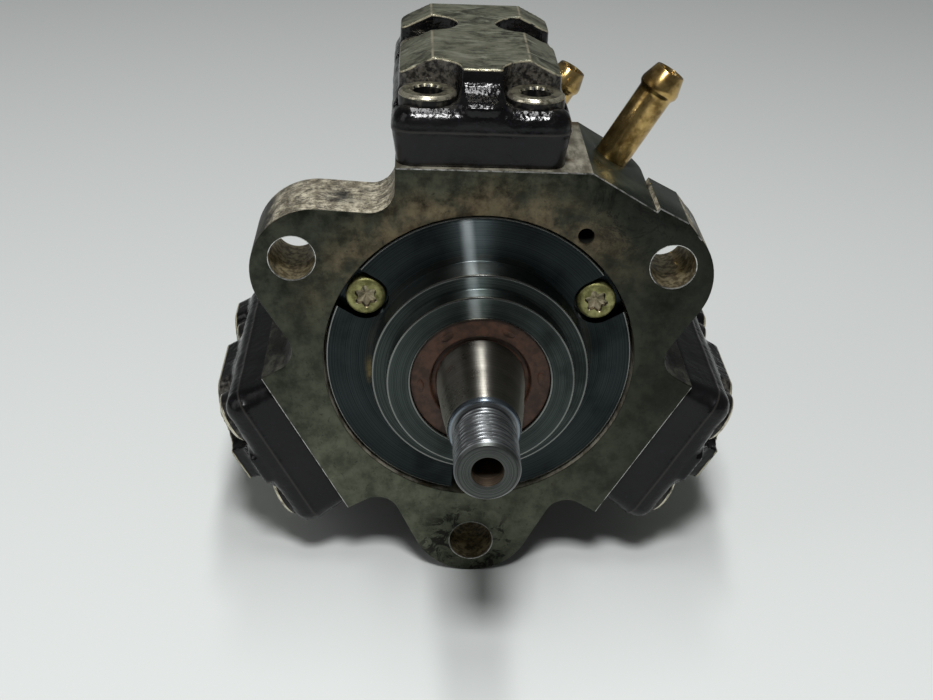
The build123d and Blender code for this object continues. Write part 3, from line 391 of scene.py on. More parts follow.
# %% Machined seats, slope, worn edges and bores
iron_seat = metal("machined seat", 0.6, 0.45)
streaks = noise(210, 5, 0.65, place_of((1, 0.35, 1)))
tone = mix(ramp(streaks, 0.38, 0.60), colour(0.10, 0.090, 0.066), colour(0.34, 0.32, 0.255))
tone = mix(ramp(noise(60, 5, 0.6), 0.55, 0.68), tone, colour(0.085, 0.060, 0.034))
fill("Base Color", tone)
fill("Normal", bump(streaks, 0.00008, 0.6))
iron_slope = metal("smooth slope", 0.75, 0.30)
film = noise(110, 6, 0.6)
tone = mix(ramp(film, 0.4, 0.65), colour(0.020, 0.026, 0.018), colour(0.066, 0.075, 0.054))
fill("Base Color", tone)
fill("Roughness", ramp(film, 0.3, 0.7, 0.24, 0.42))
iron_edge = metal("worn iron edge", 0.9, 0.28)
wear = noise(480, 4, 0.65)
tone = mix(ramp(wear, 0.34, 0.58), colour(0.10, 0.095, 0.08), colour(0.55, 0.55, 0.53))
fill("Base Color", tone)
fill("Normal", bump(wear, 0.0001, 0.6))
iron_bore = metal("brown bore", 0.8, 0.30)
skin = noise(700, 5, 0.65)
tone = mix(ramp(skin, 0.4, 0.62), colour(0.175, 0.145, 0.090), colour(0.52, 0.45, 0.29))
fill("Base Color", tone)
fill("Normal", bump(skin, 0.00008, 0.6))
print("iron finishes made")

# %% [markdown]
# The heads are castings with a thick black coat, glossy where oil lies on it.
# Their top flats and facets were ground and have been handled,
# so grey-olive metal shows there, with bright edges.
# One recipe serves all three heads, because it turns each head upright before it measures height and width.

# %% Where a head's flats are
SHIFT = -1.5
TOP_R = 67.3
FACET_R = 63.6
TOP_HALF = 11.0
TOWER_HALF = 18.5
PARTING_R = 55.0
HEAD_TURN = {"top": 0.0, "left": 120.0, "right": 240.0}


def head_height(angle):
    """Distance above the ground flats of a head; it is below zero everywhere else."""
    up_way = (math.cos(angle), 0, math.sin(angle))
    side_way = (math.sin(angle), 0, -math.cos(angle))
    height = reach(up_way)
    across = minus(reach(side_way), SHIFT * MM)
    top = minus(height, TOP_R * MM)
    rise, run = TOP_R - FACET_R, TOWER_HALF - TOP_HALF
    length = math.hypot(rise, run)
    beyond = minus(size(across), TOP_HALF * MM)
    facet = plus(times(beyond, rise / length), times(top, run / length))
    return most(top, facet), height, across, minus(top, facet)


print("facets fall by", round(math.degrees(math.atan2(TOP_R - FACET_R, TOWER_HALF - TOP_HALF)), 1), "degrees")

# %% Black coat with ground flats


def head_finish(side):
    """Black coat, ground flats and worn edges of one head."""
    material = metal(f"black coat {side}", 0.0, 0.3)
    fill("Specular IOR Level", 0.24)
    angle = math.radians(90 + HEAD_TURN[side])
    level, height, across, ridge = head_height(angle)
    wobble = times(minus(noise(420, 5, 0.7), 0.5), 0.00030)
    level = plus(level, wobble)
    flat = ramp(level, -0.00030, -0.00016)
    rim = times(ramp(level, -0.00062, -0.00034), ramp(level, -0.00012, -0.00024))
    crest = ramp(size(ridge), 0.0, 0.00022, 1.0, 0.0)
    pebbles = noise(820, 1.6, 0.5)
    broad = noise(85, 4, 0.55)
    patch = noise(130, 7, 0.7, warp=0.5)
    swirl = noise(95, 6, 0.62, place_of((1, 2.4, 1), (0, 0, 0.3)), 1.4)
    coat = mix(ramp(broad, 0.35, 0.65), colour(0.0012, 0.0012, 0.0014), colour(0.0036, 0.0034, 0.0038))
    violet = ramp(noise(900, 3, 0.6), 0.58, 0.70)
    coat = mix(times(violet, 0.3), coat, colour(0.012, 0.010, 0.020))
    hatch = noise(520, 4, 0.62, place_of((0.45, 1.5, 1), (0, 0, 0.15)), 1.0)
    ground = mix(ramp(patch, 0.36, 0.58), colour(0.050, 0.051, 0.036), colour(0.270, 0.270, 0.195))
    ground = mix(ramp(swirl, 0.50, 0.62, 0.0, 0.65), ground, colour(0.43, 0.435, 0.34))
    ground = mix(ramp(hatch, 0.48, 0.66, 0.0, 0.66), ground, colour(0.034, 0.035, 0.025))
    edge = colour(0.50, 0.46, 0.33)
    # Pocket walls above the shoulder, at the front and away from the tongue, are lightened: partly dust, partly
    # a painted sheen that stands in for light glinting on the coat.
    dust_and_painted_light = times(ramp(height, 0.0592, 0.0618), ramp(size(across), 0.0050, 0.0066))
    dust_and_painted_light = times(dust_and_painted_light, ramp(reach((0, 1, 0)), 0.017, 0.022, 1.0, 0.0))
    dust_and_painted_light = times(dust_and_painted_light, ramp(noise(900, 3, 0.6), 0.38, 0.64, 0.1, 0.9))
    coat = mix(dust_and_painted_light, coat, colour(0.072, 0.066, 0.056))
    tone = mix(flat, coat, ground)
    chipped = ramp(noise(210, 5, 0.65), 0.36, 0.52)
    lines = times(most(rim, times(crest, flat)), chipped)
    tone = mix(times(lines, 0.85), tone, edge)
    seam = ramp(size(minus(height, (PARTING_R + 0.2) * MM)), 0.0001, 0.0004, 1.0, 0.0)
    tone = mix(times(seam, 0.12), tone, colour(0.12, 0.11, 0.10))
    fill("Base Color", tone)
    bare = most(flat, times(lines, 0.8))
    fill("Metallic", times(bare, 0.8))
    gloss = ramp(broad, 0.3, 0.7, 0.11, 0.20)
    gloss = plus(gloss, ramp(height, 0.0574, 0.0588, 0.14, 0.0))
    rough = ramp(patch, 0.3, 0.65, 0.50, 0.32)
    blend = plus(times(gloss, minus(1.0, flat)), times(rough, flat))
    fill("Roughness", blend)
    depth = minus(1.0, times(flat, 0.85))
    depth = times(depth, ramp(height, 0.0530, 0.0562, 0.3, 1.0))
    depth = times(depth, ramp(height, 0.0572, 0.0586, 1.0, 1.45))
    skin = bump(times(pebbles, depth), 0.00010, 1.0)
    fill("Normal", bump(swirl, 0.00006, 0.6, skin))
    return material


head_coats = {side: head_finish(side) for side in HEAD_TURN}
print("head finishes", len(head_coats))

# %% [markdown]
# The head screws are black, with the coat rubbed off their rims to the same olive metal as the flats.

# %% Screw finishes
screw_black = metal("black oxide", 0.6, 0.34)
oxide = noise(500, 5, 0.65)
tone = mix(ramp(oxide, 0.48, 0.68), colour(0.010, 0.010, 0.010), colour(0.060, 0.055, 0.045))
fill("Base Color", tone)
fill("Normal", bump(oxide, 0.0001, 0.6))
screw_worn = metal("rubbed screw face", 0.8, 0.34)
rub = noise(330, 6, 0.68)
tone = mix(ramp(rub, 0.36, 0.60), colour(0.055, 0.050, 0.036), colour(0.26, 0.245, 0.175))
fill("Base Color", tone)
fill("Normal", bump(rub, 0.0001, 0.6))
screw_rim = metal("bright screw rim", 0.9, 0.24)
rub = noise(420, 5, 0.65)
tone = mix(ramp(rub, 0.34, 0.56), colour(0.11, 0.10, 0.07), colour(0.58, 0.54, 0.42))
fill("Base Color", tone)
print("screw finishes made")

# %% [markdown]
# The cover and the shaft were turned on a lathe, so the tool left fine rings round the shaft axis.
# Rings stretch a highlight across themselves: into a bright line down a disc, and along a cylinder.
# The shader's anisotropy does that. Its tangent points away from the axis and a little along it,
# so it serves both. On the cover and the boss, a painted highlight band adds to the line down the disc.

# %% Turned steel
RINGS = 5200


def from_axis():
    """The distance from the shaft axis, and the way that points away from it."""
    flat = add("ShaderNodeVectorMath", here(), (1, 0, 1), operation="MULTIPLY").outputs[0]
    lean = add("ShaderNodeVectorMath", flat, (0, 0.012, 0), operation="ADD").outputs[0]
    unit = add("ShaderNodeVectorMath", lean, operation="NORMALIZE").outputs[0]
    return add("ShaderNodeVectorMath", flat, operation="LENGTH").outputs["Value"], unit


def turned_finish(name, dark, light, roughness, streak, metallic=1.0, marks=None):
    """Cloudy steel with lathe rings and a stretched highlight; marks(radius, tone) adds its own."""
    material = metal(name, metallic, roughness)
    radius, way = from_axis()
    along = add("ShaderNodeCombineXYZ", X=radius, Y=reach((0, 1, 0))).outputs[0]
    rings = noise(RINGS, 3, 0.7, along)
    cloud = noise(60, 6, 0.62)
    tone = mix(ramp(rings, 0.35, 0.65), dark, light)
    tone = mix(ramp(cloud, 0.5, 0.72, 0, 0.5), tone, colour(*[c * 0.4 for c in dark[:3]]))
    fill("Base Color", marks(radius, tone) if marks else tone)
    fill("Roughness", ramp(cloud, 0.3, 0.7, roughness - 0.05, roughness + 0.08))
    fill("Normal", bump(rings, 0.00003, 0.5))
    fill("Anisotropic", streak)
    fill("Tangent", way)
    return material


print("rings are about", round(1000 / RINGS, 2), "mm apart")

# %% Cover steel


def painted_streak(tone, share):
    """A painted highlight: brighter metal in a narrow band above the shaft, standing in for the line of light
    down the turned rings.
    """
    away = size(reach((0.9925, 0, 0.1219)))
    band = times(ramp(away, 0.0002, 0.0021, 1, 0), ramp(reach((0, 0, 1)), 0.012, 0.016))
    return mix(times(band, share), tone, colour(0.20, 0.22, 0.225))


def cover_marks(radius, tone):
    """The painted highlight band, and a brown stain at the left in the corner where the boss meets the disc."""
    root = times(ramp(radius, 0.0246, 0.0252), ramp(radius, 0.0272, 0.0258))
    blotch = ramp(noise(80, 6, 0.65), 0.40, 0.60)
    stain = times(root, blotch, plus(0.06, near((-25.5, -4, -7), 5, 10)))
    return mix(stain, painted_streak(tone, 0.5), colour(0.22, 0.165, 0.075))


cover_steel = turned_finish("turned cover steel", colour(0.016, 0.021, 0.022), colour(0.036, 0.045, 0.046),
                            0.38, 1.0, marks=cover_marks)
turned_edge = turned_finish("bright turned edge", colour(0.11, 0.115, 0.11), colour(0.24, 0.25, 0.24),
                            0.20, 0.3)
# The boss gets the same painted highlight band above the shaft.
boss_steel = turned_finish("turned boss steel", colour(0.027, 0.035, 0.033), colour(0.060, 0.074, 0.070),
                           0.36, 1.0, marks=lambda radius, tone: painted_streak(tone, 0.4))
print("cover finishes", cover_steel.name, boss_steel.name)

# %% Shaft steel
shaft_steel = turned_finish("ground shaft steel", colour(0.15, 0.145, 0.125), colour(0.27, 0.26, 0.23),
                            0.30, 1.0)
shaft_step = turned_finish("blued step ring", colour(0.10, 0.125, 0.155), colour(0.24, 0.28, 0.32), 0.24, 0.4)
shaft_thread = turned_finish("dull threaded steel", colour(0.060, 0.064, 0.066), colour(0.21, 0.22, 0.225),
                             0.30, 0.3, 0.9)
shaft_tip = turned_finish("dark shaft tip", colour(0.028, 0.031, 0.029), colour(0.080, 0.087, 0.081),
                          0.36, 0.3, 0.85)
centre_hole = turned_finish("brown centre hole", colour(0.045, 0.034, 0.024), colour(0.18, 0.135, 0.095),
                            0.40, 0.4, 0.8)
plain_steel = turned_finish("machined steel", colour(0.30, 0.30, 0.29), colour(0.48, 0.48, 0.47), 0.34, 0.4)
print("turned finishes made")

# %% [markdown]
# Small parts have their own plating: yellow zinc on the cover screws and hose nipples,
# bronze in the bushes, brown rubber in the shaft seal and black plastic on the valve's coil.

# %% Platings, rubber and plastic


def plated(name, dark, light, roughness, metallic, scale=300, depth=0.00002):
    """A cloudy two-tone finish with a slight texture."""
    material = metal(name, metallic, roughness)
    cloud = noise(scale, 5, 0.65)
    fill("Base Color", mix(ramp(cloud, 0.36, 0.64), dark, light))
    fill("Roughness", ramp(cloud, 0.3, 0.7, roughness + 0.08, roughness - 0.06))
    fill("Normal", bump(cloud, depth, 0.5))
    return material


zinc_screw = plated("yellow zinc screw", colour(0.10, 0.098, 0.034), colour(0.27, 0.262, 0.110), 0.40, 0.8,
                    520, 0.00008)
# Painted shade on the star recess's walls, and painted light on its floor.
recess_wall_painted_shade = plated("recess walls with painted shade", colour(0.020, 0.015, 0.008), colour(0.060, 0.045, 0.024), 0.42, 0.7,
                   420, 0.00005)
recess_floor_painted_light = plated("recess floor with painted light", colour(0.25, 0.215, 0.135), colour(0.46, 0.41, 0.28), 0.40, 0.85,
                    420, 0.00004)
nipple_zinc = plated("darkened yellow zinc", colour(0.13, 0.080, 0.024), colour(0.52, 0.36, 0.14), 0.20, 0.95,
                     150, 0.00006)
bronze = plated("bearing bronze", colour(0.40, 0.26, 0.12), colour(0.55, 0.38, 0.19), 0.36, 0.95)
seal_rubber = plated("brown seal rubber", colour(0.020, 0.010, 0.006), colour(0.044, 0.021, 0.013), 0.45, 0.0,
                     420, 0.00006)
fill("Specular IOR Level", 0.25)
black_rubber = plated("black rubber", colour(0.012, 0.012, 0.012), colour(0.022, 0.022, 0.022), 0.55, 0.0)
coil_plastic = plated("black moulded plastic", colour(0.014, 0.014, 0.015), colour(0.024, 0.024, 0.025),
                      0.42, 0.0, 900, 0.00004)
# Near black: painted shade inside the small drilled hole.
hole_painted_shade = plated("drilled hole with painted shade", colour(0.004, 0.004, 0.003), colour(0.012, 0.012, 0.009), 0.5, 0.5)
tinned = plated("tinned contact", colour(0.52, 0.50, 0.44), colour(0.68, 0.66, 0.60), 0.3, 0.95)
print("small finishes made")

# %% [markdown]
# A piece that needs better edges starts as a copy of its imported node.
# Merging the loose triangles and dissolving the flat ones gives whole faces,
# whose sharp edges can then be bevelled.
# A bevel of a third of a millimetre is what a deburred or worn edge has, and it catches the light.

# %% Copies of nodes and their edges
HINGE_ANGLE = math.radians(32)


def copy_of(name):
    """A node's mesh with whole faces, ready to be finished."""
    mesh = bmesh.new()
    mesh.from_mesh(nodes[name].data)
    bmesh.ops.remove_doubles(mesh, verts=mesh.verts, dist=2e-6)
    bmesh.ops.dissolve_limit(mesh, angle_limit=math.radians(0.4), use_dissolve_boundaries=False,
                             verts=mesh.verts, edges=mesh.edges)
    return mesh


def sharp_edges(mesh, angle=28.0):
    """Edges where two faces meet at more than an angle in degrees."""
    return [e for e in mesh.edges if len(e.link_faces) == 2 and e.calc_face_angle(0) > math.radians(angle)]


def soften(mesh, edges, width, segments=2, finish=-1):
    """Bevels edges; a finish index gives the bevel its own finish."""
    bmesh.ops.bevel(mesh, geom=edges, offset=width * MM, offset_type="OFFSET", segments=segments, profile=0.5,
                    affect="EDGES", material=finish, clamp_overlap=True)


print("packed triangles of the housing", len(nodes["pump_housing"].data.polygons))

# %% Pieces in the scene


def shade(mesh, limit):
    """Smooth faces, with a sharp edge wherever two of them meet at more than a limit."""
    for face in mesh.faces:
        face.smooth = True
    for edge in mesh.edges:
        edge.smooth = len(edge.link_faces) == 2 and edge.calc_face_angle(0) < limit


def make_piece(mesh, name, finishes, stands_for, body="pump_body", crease=HINGE_ANGLE):
    """Turns a bmesh into a smooth-shaded piece that stands for a node and rides on its body."""
    shade(mesh, crease)
    piece = object_of(name, mesh, finishes)
    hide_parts(stands_for)
    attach(piece, body)
    return piece


print("edges stay smooth below", round(math.degrees(HINGE_ANGLE)), "degrees")

# %% [markdown]
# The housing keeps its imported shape. Each face gets the finish of its place:
# the turned front, the bolt holes, the seats under the heads, the slope with the nipples, and the cast rest.
# The front rim is worn bright, the rest of its edges are only broken.

# %% Regions of the housing
IRON = [iron_face, iron_cast, iron_seat, iron_slope, iron_bore, iron_edge, hole_painted_shade]
FACE, CAST, SEAT, SLOPE, BORE, EDGE, HOLE = range(7)


def around(angle):
    """The direction at an angle in degrees from right towards up, in the plane across the shaft."""
    return Vector((math.cos(math.radians(angle)), 0, math.sin(math.radians(angle))))


THIRDS = (30, 150, 270)
EAR_HOLES = [around(angle) * 50.0 for angle in THIRDS]
EAR_HOLE_R = 5.6
DRAIN = around(54.5) * 39.4
NIPPLE_SIDE = around(60)
HEAD_WAYS = [around(90 + turn) for turn in HEAD_TURN.values()]


def housing_region(face):
    """Which finish a face of the housing has."""
    middle = face.calc_center_median() / MM
    normal = face.normal
    flat = Vector((middle.x, 0, middle.z))
    if normal.y < -0.9 and middle.y < 0.3:
        return FACE
    if abs(normal.y) < 0.3 and min((flat - hole).length for hole in EAR_HOLES) < EAR_HOLE_R:
        return BORE
    # The small drilled hole gets the near-black finish of painted shade.
    if (flat - DRAIN).length < 2.3 and middle.y < 20:
        return HOLE
    if max(normal.dot(way) for way in HEAD_WAYS) > 0.97 and max(flat.dot(way) for way in HEAD_WAYS) > 46.5:
        return SEAT
    if normal.dot(NIPPLE_SIDE) > 0.95 and flat.dot(NIPPLE_SIDE) > 30:
        return SLOPE
    if flat.length < 37:
        return SEAT
    return CAST


print("ear holes", [tuple(round(c, 1) for c in hole) for hole in EAR_HOLES])

# %% Housing with its worn rim
housing = copy_of("pump_housing")
for face in housing.faces:
    face.material_index = housing_region(face)
rim = [e for e in sharp_edges(housing) if any(f.material_index == FACE for f in e.link_faces)
       and all(v.co.y < 0.0003 for v in e.verts)]


def worn(edge):
    """Whether a front edge has been rubbed bright: along seats and slope, and round the bolt holes."""
    middle = (edge.verts[0].co + edge.verts[1].co) / 2 / MM
    flat = Vector((middle.x, 0, middle.z))
    if min((flat - hole).length for hole in EAR_HOLES) < EAR_HOLE_R:
        return True
    return flat.length > 38 and any(f.material_index in (SEAT, SLOPE) for f in edge.link_faces)


def beside(point, middle, way, half):
    """Whether a point lies along a straight edge, given by its middle, its direction and half its length."""
    offset = point - middle
    along = offset.dot(way)
    return abs(along) < half + 0.2 * MM and (offset - way * along).length < 0.6 * MM


bright = [e for e in rim if worn(e)]
spans = [((e.verts[0].co + e.verts[1].co) / 2, (e.verts[1].co - e.verts[0].co).normalized(),
          (e.verts[0].co - e.verts[1].co).length / 2) for e in bright]
soften(housing, rim, 0.24, 2, EDGE)
for face in housing.faces:
    if face.material_index == EDGE:
        middle = face.calc_center_median()
        face.material_index = EDGE if any(beside(middle, *span) for span in spans) else FACE

body_edges = [e for e in sharp_edges(housing, 35)
              if all(f.material_index in (CAST, SEAT, SLOPE) for f in e.link_faces)
              and min(v.co.y for v in e.verts) > 0.0008
              and min(Vector((v.co.x, v.co.z)).length for v in e.verts) > 0.028]
soften(housing, body_edges, 0.5, 2)
print("housing faces", len(housing.faces), "rim edges", len(rim), "body edges", len(body_edges))
make_piece(housing, "housing", IRON, "pump_housing")

# %% [markdown]
# A head is a sand casting: no edge is quite sharp,
# and the skin is pebbled all over except on the ground flats.
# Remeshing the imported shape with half-millimetre voxels rounds every edge, as the sand and the thick coat do.
# Pushing each point in or out by a little noise then gives the pebbles and the slow waves of the skin.

# %% Cast skin

def skin_depth(place, level):
    """How far the cast skin stands out at a point, in metres."""
    if level > -0.0002:
        return 0.0
    fade = min(1.0, (-0.0002 - level) / 0.0008)
    pebble = lumps.noise(place * 780.0) * 0.000055
    wave = lumps.noise(place * 140.0) * 0.00016
    return (pebble + wave) * fade


def head_level(point, way):
    """The head's upright coordinates of a point, and its height above the ground flats."""
    height = point.dot(way)
    across = point.x * way.z - point.z * way.x - SHIFT * MM
    rise, run = TOP_R - FACET_R, TOWER_HALF - TOP_HALF
    facet = ((abs(across) - TOP_HALF * MM) * rise + (height - TOP_R * MM) * run) / math.hypot(rise, run)
    return height, across, max(height - TOP_R * MM, facet)


print("wave", round(lumps.noise(Vector((0, 0, 0.06)) * 140.0) * 0.16, 3), "mm at a trial point")

# %% [markdown]
# A tongue runs down the front of each head between the two screws.
# The cast one swells a little above the foot and then rises steeply to the flat.
# Moving the points forward or back by their height is simpler than sculpting it.

# %% Tongue


def tongue_belly(height, across, y, facing):
    """How far the tongue between the front screws swells forward above the foot, in metres."""
    if y > 9 or abs(across) > 8 or facing > -0.35:
        return 0.0
    share = min(1.0, (8 - abs(across)) / 4) * min(1.0, (-0.35 - facing) / 0.35)
    return 0.6 * MM * share * math.exp(-((height - 60.0) / 2.2) ** 2)


RAMP = [(61.2, 1.3), (66.2, 6.7), (67.3, 9.1)]
NECK = [(61.2, 1.3), (61.55, 3.3), (62.0, 5.1), (62.6, 6.6), (63.4, 7.7), (64.4, 8.3),
        (65.8, 8.75), (67.3, 9.1)]


def read_off(table, height):
    """The y at a height, in millimetres, along a broken line."""
    for (h0, y0), (h1, y1) in zip(table, table[1:]):
        if h0 <= height <= h1:
            return y0 + (y1 - y0) * (height - h0) / (h1 - h0)
    return None


def tongue_neck(height, across, y):
    """How far the tongue is drawn back above its belly, so that a steep neck rises to the ground flat."""
    ramp_y = read_off(RAMP, height)
    if ramp_y is None or abs(across) > 9.5:
        return 0.0
    fade = max(0.0, min(1.0, 1 - (y - ramp_y) / 6.5))
    return (read_off(NECK, height) - ramp_y) * fade * MM


steps_back = [round(read_off(NECK, h) - read_off(RAMP, h), 2) for h in (62, 63, 64, 65)]
print("neck stands back by", steps_back, "mm")

# %% Cast heads
VOXEL = 0.55
SEAM_HALF, SEAM_RISE = 0.4 * MM, 0.14 * MM


def apply_modifiers(piece):
    """Turns a piece's modifiers into its mesh."""
    shape = piece.evaluated_get(bpy.context.evaluated_depsgraph_get())
    data = bpy.data.meshes.new_from_object(shape)
    old = piece.data
    piece.modifiers.clear()
    piece.data = data
    bpy.data.meshes.remove(old)


def cast_head(side):
    """A head with rounded edges, a parting line and a pebbled skin."""
    way = around(90 + HEAD_TURN[side])
    mesh = copy_of(f"cylinder_head_{side}")
    piece = make_piece(mesh, f"head_{side}", [head_coats[side]], f"cylinder_head_{side}")
    remesh = piece.modifiers.new("skin", "REMESH")
    remesh.mode = "VOXEL"
    remesh.voxel_size = VOXEL * MM
    apply_modifiers(piece)
    mesh = bmesh.new()
    mesh.from_mesh(piece.data)
    mesh.normal_update()
    for point in mesh.verts:
        height, across, level = head_level(point.co, way)
        step = skin_depth(point.co, level)
        if abs(height - PARTING_R * MM) < SEAM_HALF and abs(point.normal.dot(way)) < 0.4:
            step += SEAM_RISE
        point.co += point.normal * step
        place = height / MM, across / MM, point.co.y / MM
        point.co.y += tongue_neck(*place) - tongue_belly(*place, point.normal.y)
    for face in mesh.faces:
        face.smooth = True
    mesh.to_mesh(piece.data)
    mesh.free()
    return piece


for side in HEAD_TURN:
    head = cast_head(side)
    print(head.name, len(head.data.vertices), "points")

# %% [markdown]
# Screws, cover, shaft and seal are all round, so each is spun from half of its outline, as on a lathe.

# %% Lathe work


def lathe(outline, steps=96, closed=False):
    """Spins an outline of (radius, height) points in millimetres about Z."""
    mesh = bmesh.new()
    points = [mesh.verts.new((r * MM, 0, h * MM)) for r, h in outline]
    edges = [mesh.edges.new(pair) for pair in zip(points, points[1:])]
    if closed:
        edges.append(mesh.edges.new((points[-1], points[0])))
    bmesh.ops.spin(mesh, geom=points + edges, cent=(0, 0, 0), axis=(0, 0, 1), angle=2 * math.pi, steps=steps,
                   use_merge=True, use_duplicate=False)
    bmesh.ops.remove_doubles(mesh, verts=mesh.verts, dist=1e-6)
    bmesh.ops.recalc_face_normals(mesh, faces=mesh.faces)
    return mesh


def stand(mesh, place, way):
    """Moves a mesh made about Z to a place in millimetres, with its Z turned to a direction."""
    turn_to = Vector(way).to_track_quat("Z", "X").to_matrix().to_4x4()
    bmesh.ops.transform(mesh, matrix=Matrix.Translation(Vector(place) * MM) @ turn_to, verts=mesh.verts)
    return mesh


def turned(mesh, degrees, axis):
    """Turns a mesh about the origin."""
    bmesh.ops.transform(mesh, matrix=Matrix.Rotation(math.radians(degrees), 4, axis), verts=mesh.verts)
    return mesh


def joined(meshes):
    """One mesh out of several."""
    whole = bmesh.new()
    for mesh in meshes:
        data = bpy.data.meshes.new("part")
        mesh.to_mesh(data)
        mesh.free()
        whole.from_mesh(data)
        bpy.data.meshes.remove(data)
    return whole


print("a trial washer has", len(lathe([(1, 0), (2, 0), (2, 1), (1, 1)], 96, closed=True).faces), "faces")

# %% [markdown]
# A recess with lobes is a lathe shape whose inner rings are pushed in and out as they go round.
# The head screws have twelve small points, the cover screws a six-pointed star.

# %% Recesses
HEAD_LOBES, COVER_LOBES = 12, 6


def lobes(mesh, inner, count, depth, sharp=1.0):
    """Pushes points nearer the axis than inner in and out, count times round; sharp narrows them."""
    for point in mesh.verts:
        r = math.hypot(point.co.x, point.co.y)
        if 0.0003 < r < inner * MM and point.co.z > -0.004:
            wave = 0.5 + 0.5 * math.cos(count * math.atan2(point.co.y, point.co.x))
            factor = 1 + depth * (2 * wave ** sharp - 1)
            point.co.x *= factor
            point.co.y *= factor
    return mesh


def paint(mesh, choose):
    """Gives every face a finish index by its middle and normal."""
    for face in mesh.faces:
        face.material_index = choose(face.calc_center_median() / MM, face.normal)
    return mesh


print("lobes of a head screw", HEAD_LOBES, "and of a cover screw", COVER_LOBES)

# %% Head screws


def rubbed_region(p, n):
    """The black recess and sides, the rubbed face and its bright rim."""
    r = math.hypot(p.x, p.y)
    if r < 3.5 or p.z < -1.0:
        return 0
    return 2 if p.z < -0.12 and r > 5.5 else 1


def head_screw():
    """Socket-head screw, 13 mm across its head; its top is at zero."""
    outline = [(0, -4.5), (2.6, -4.5), (3.25, -4.1), (3.35, -0.55), (3.75, -0.12), (4.0, 0.0), (5.4, 0.0),
               (5.75, -0.05), (6.12, -0.30), (6.42, -0.62), (6.5, -0.95), (6.5, -7.6), (6.3, -8.0),
               (3.98, -8.0), (3.98, -24.3), (3.3, -24.6), (0, -24.6)]
    mesh = lobes(lathe(outline, 120), 3.9, HEAD_LOBES, 0.045)
    return paint(mesh, rubbed_region)


SCREW_TOP = 62.2
for side, turned_by in HEAD_TURN.items():
    way = around(90 + turned_by)
    across = Vector((way.z, 0, -way.x))
    screws = []
    for x in (-12.0, 12.0):
        for y in (10.0, 49.0):
            screw = turned(head_screw(), math.degrees(0.9 * x + 0.37 * y), "Z")
            screws.append(stand(screw, way * SCREW_TOP + across * (x + SHIFT) + Vector((0, y, 0)), way))
    make_piece(joined(screws), f"head_screws_of_{side}", [screw_black, screw_worn, screw_rim],
               f"head_screws_{side}")
print("head screws made")

# %% Cover screws
COVER_SCREW_FACE = 1.4
COVER_SCREW_CIRCLE = 30.7


def cover_screw():
    """Pan-head screw with a star recess; its face is at zero."""
    outline = [(0, -1.75), (0.5, -1.62), (1.2, -1.40), (1.9, -1.22), (2.22, -1.12), (2.30, -0.14),
               (2.42, 0.0), (3.6, 0.0), (4.05, -0.10), (4.38, -0.34), (4.53, -0.75), (4.55, -3.0),
               (2.48, -3.0), (2.48, -15.4), (2.1, -16.0), (0, -16.0)]
    mesh = lobes(lathe(outline, 168), 2.6, COVER_LOBES, 0.17, 1.1)
    mesh.normal_update()
    return paint(mesh, recess_region)


def recess_region(p, n):
    """The star's walls with painted shade, its floor with painted light, and the plated rest."""
    inside = math.hypot(p.x, p.y) < 3.0 and -2.0 < p.z < -0.03
    if not inside:
        return 0
    return 1 if abs(n.z) < 0.6 else 2


screws = []
for angle, spin_by in zip(THIRDS, (0.35, 0.1, 0.8)):
    screw = turned(cover_screw(), math.degrees(spin_by), "Z")
    place = around(angle) * COVER_SCREW_CIRCLE + Vector((0, COVER_SCREW_FACE, 0))
    screws.append(stand(screw, place, (0, -1, 0)))
make_piece(joined(screws), "cover_screw_set", [zinc_screw, recess_wall_painted_shade, recess_floor_painted_light],
           "cover_screws", crease=math.radians(24))
print("cover screws made")

# %% [markdown]
# The front cover is lathe work, so it is spun from its outline, with a small bright chamfer at each corner.
# A cutter with one round end and straight sides takes out the notch for each screw.

# %% Front cover
cover_outline = [(13.03, 18.3), (13.03, -2.5), (11.43, -2.5), (11.43, -3.4), (16.0, -3.4), (16.0, -10.62),
                 (16.12, -10.86), (16.42, -11.0), (21.05, -11.0), (21.36, -10.88), (21.5, -10.55),
                 (21.5, -6.95), (21.6, -6.8), (24.5, -6.8), (24.85, -6.68), (25.0, -6.4), (25.0, 0.88),
                 (25.12, 1.0), (35.35, 1.0), (35.62, 1.1), (35.75, 1.4), (35.75, 9.0), (26.7, 9.0),
                 (26.7, 11.2), (25.1, 11.2), (25.1, 13.2), (26.7, 13.2), (26.7, 15.0), (22.7, 15.0),
                 (22.7, 18.3)]
CHAMFERS = ((21.3, -10.9), (24.8, -6.65), (16.2, -10.9), (35.6, 1.12))
cover_mesh = turned(lathe(cover_outline, 192, closed=True), -90, "X")


def cover_region(p, n):
    """Bright chamfers, the boss and the dark disc."""
    r = math.hypot(p.x, p.z)
    if any(abs(r - edge_r) < 0.24 and abs(p.y - edge_y) < 0.26 for edge_r, edge_y in CHAMFERS):
        return 1
    return 2 if r < 24.2 and p.y < -6 else 0


paint(cover_mesh, cover_region)
cover = make_piece(cover_mesh, "cover", [cover_steel, turned_edge, boss_steel], "front_cover")
print("cover before its notches", len(cover.data.polygons), "faces")

# %% Screw notches
NOTCH_R, NOTCH_FLOOR = 5.3, 4.4


def rod(radius, length, segments, end_radius=None):
    """A round bar about Z in millimetres, centred on the origin."""
    mesh = bmesh.new()
    bmesh.ops.create_cone(mesh, cap_ends=True, segments=segments, radius1=radius * MM,
                          radius2=(end_radius or radius) * MM, depth=length * MM)
    return mesh


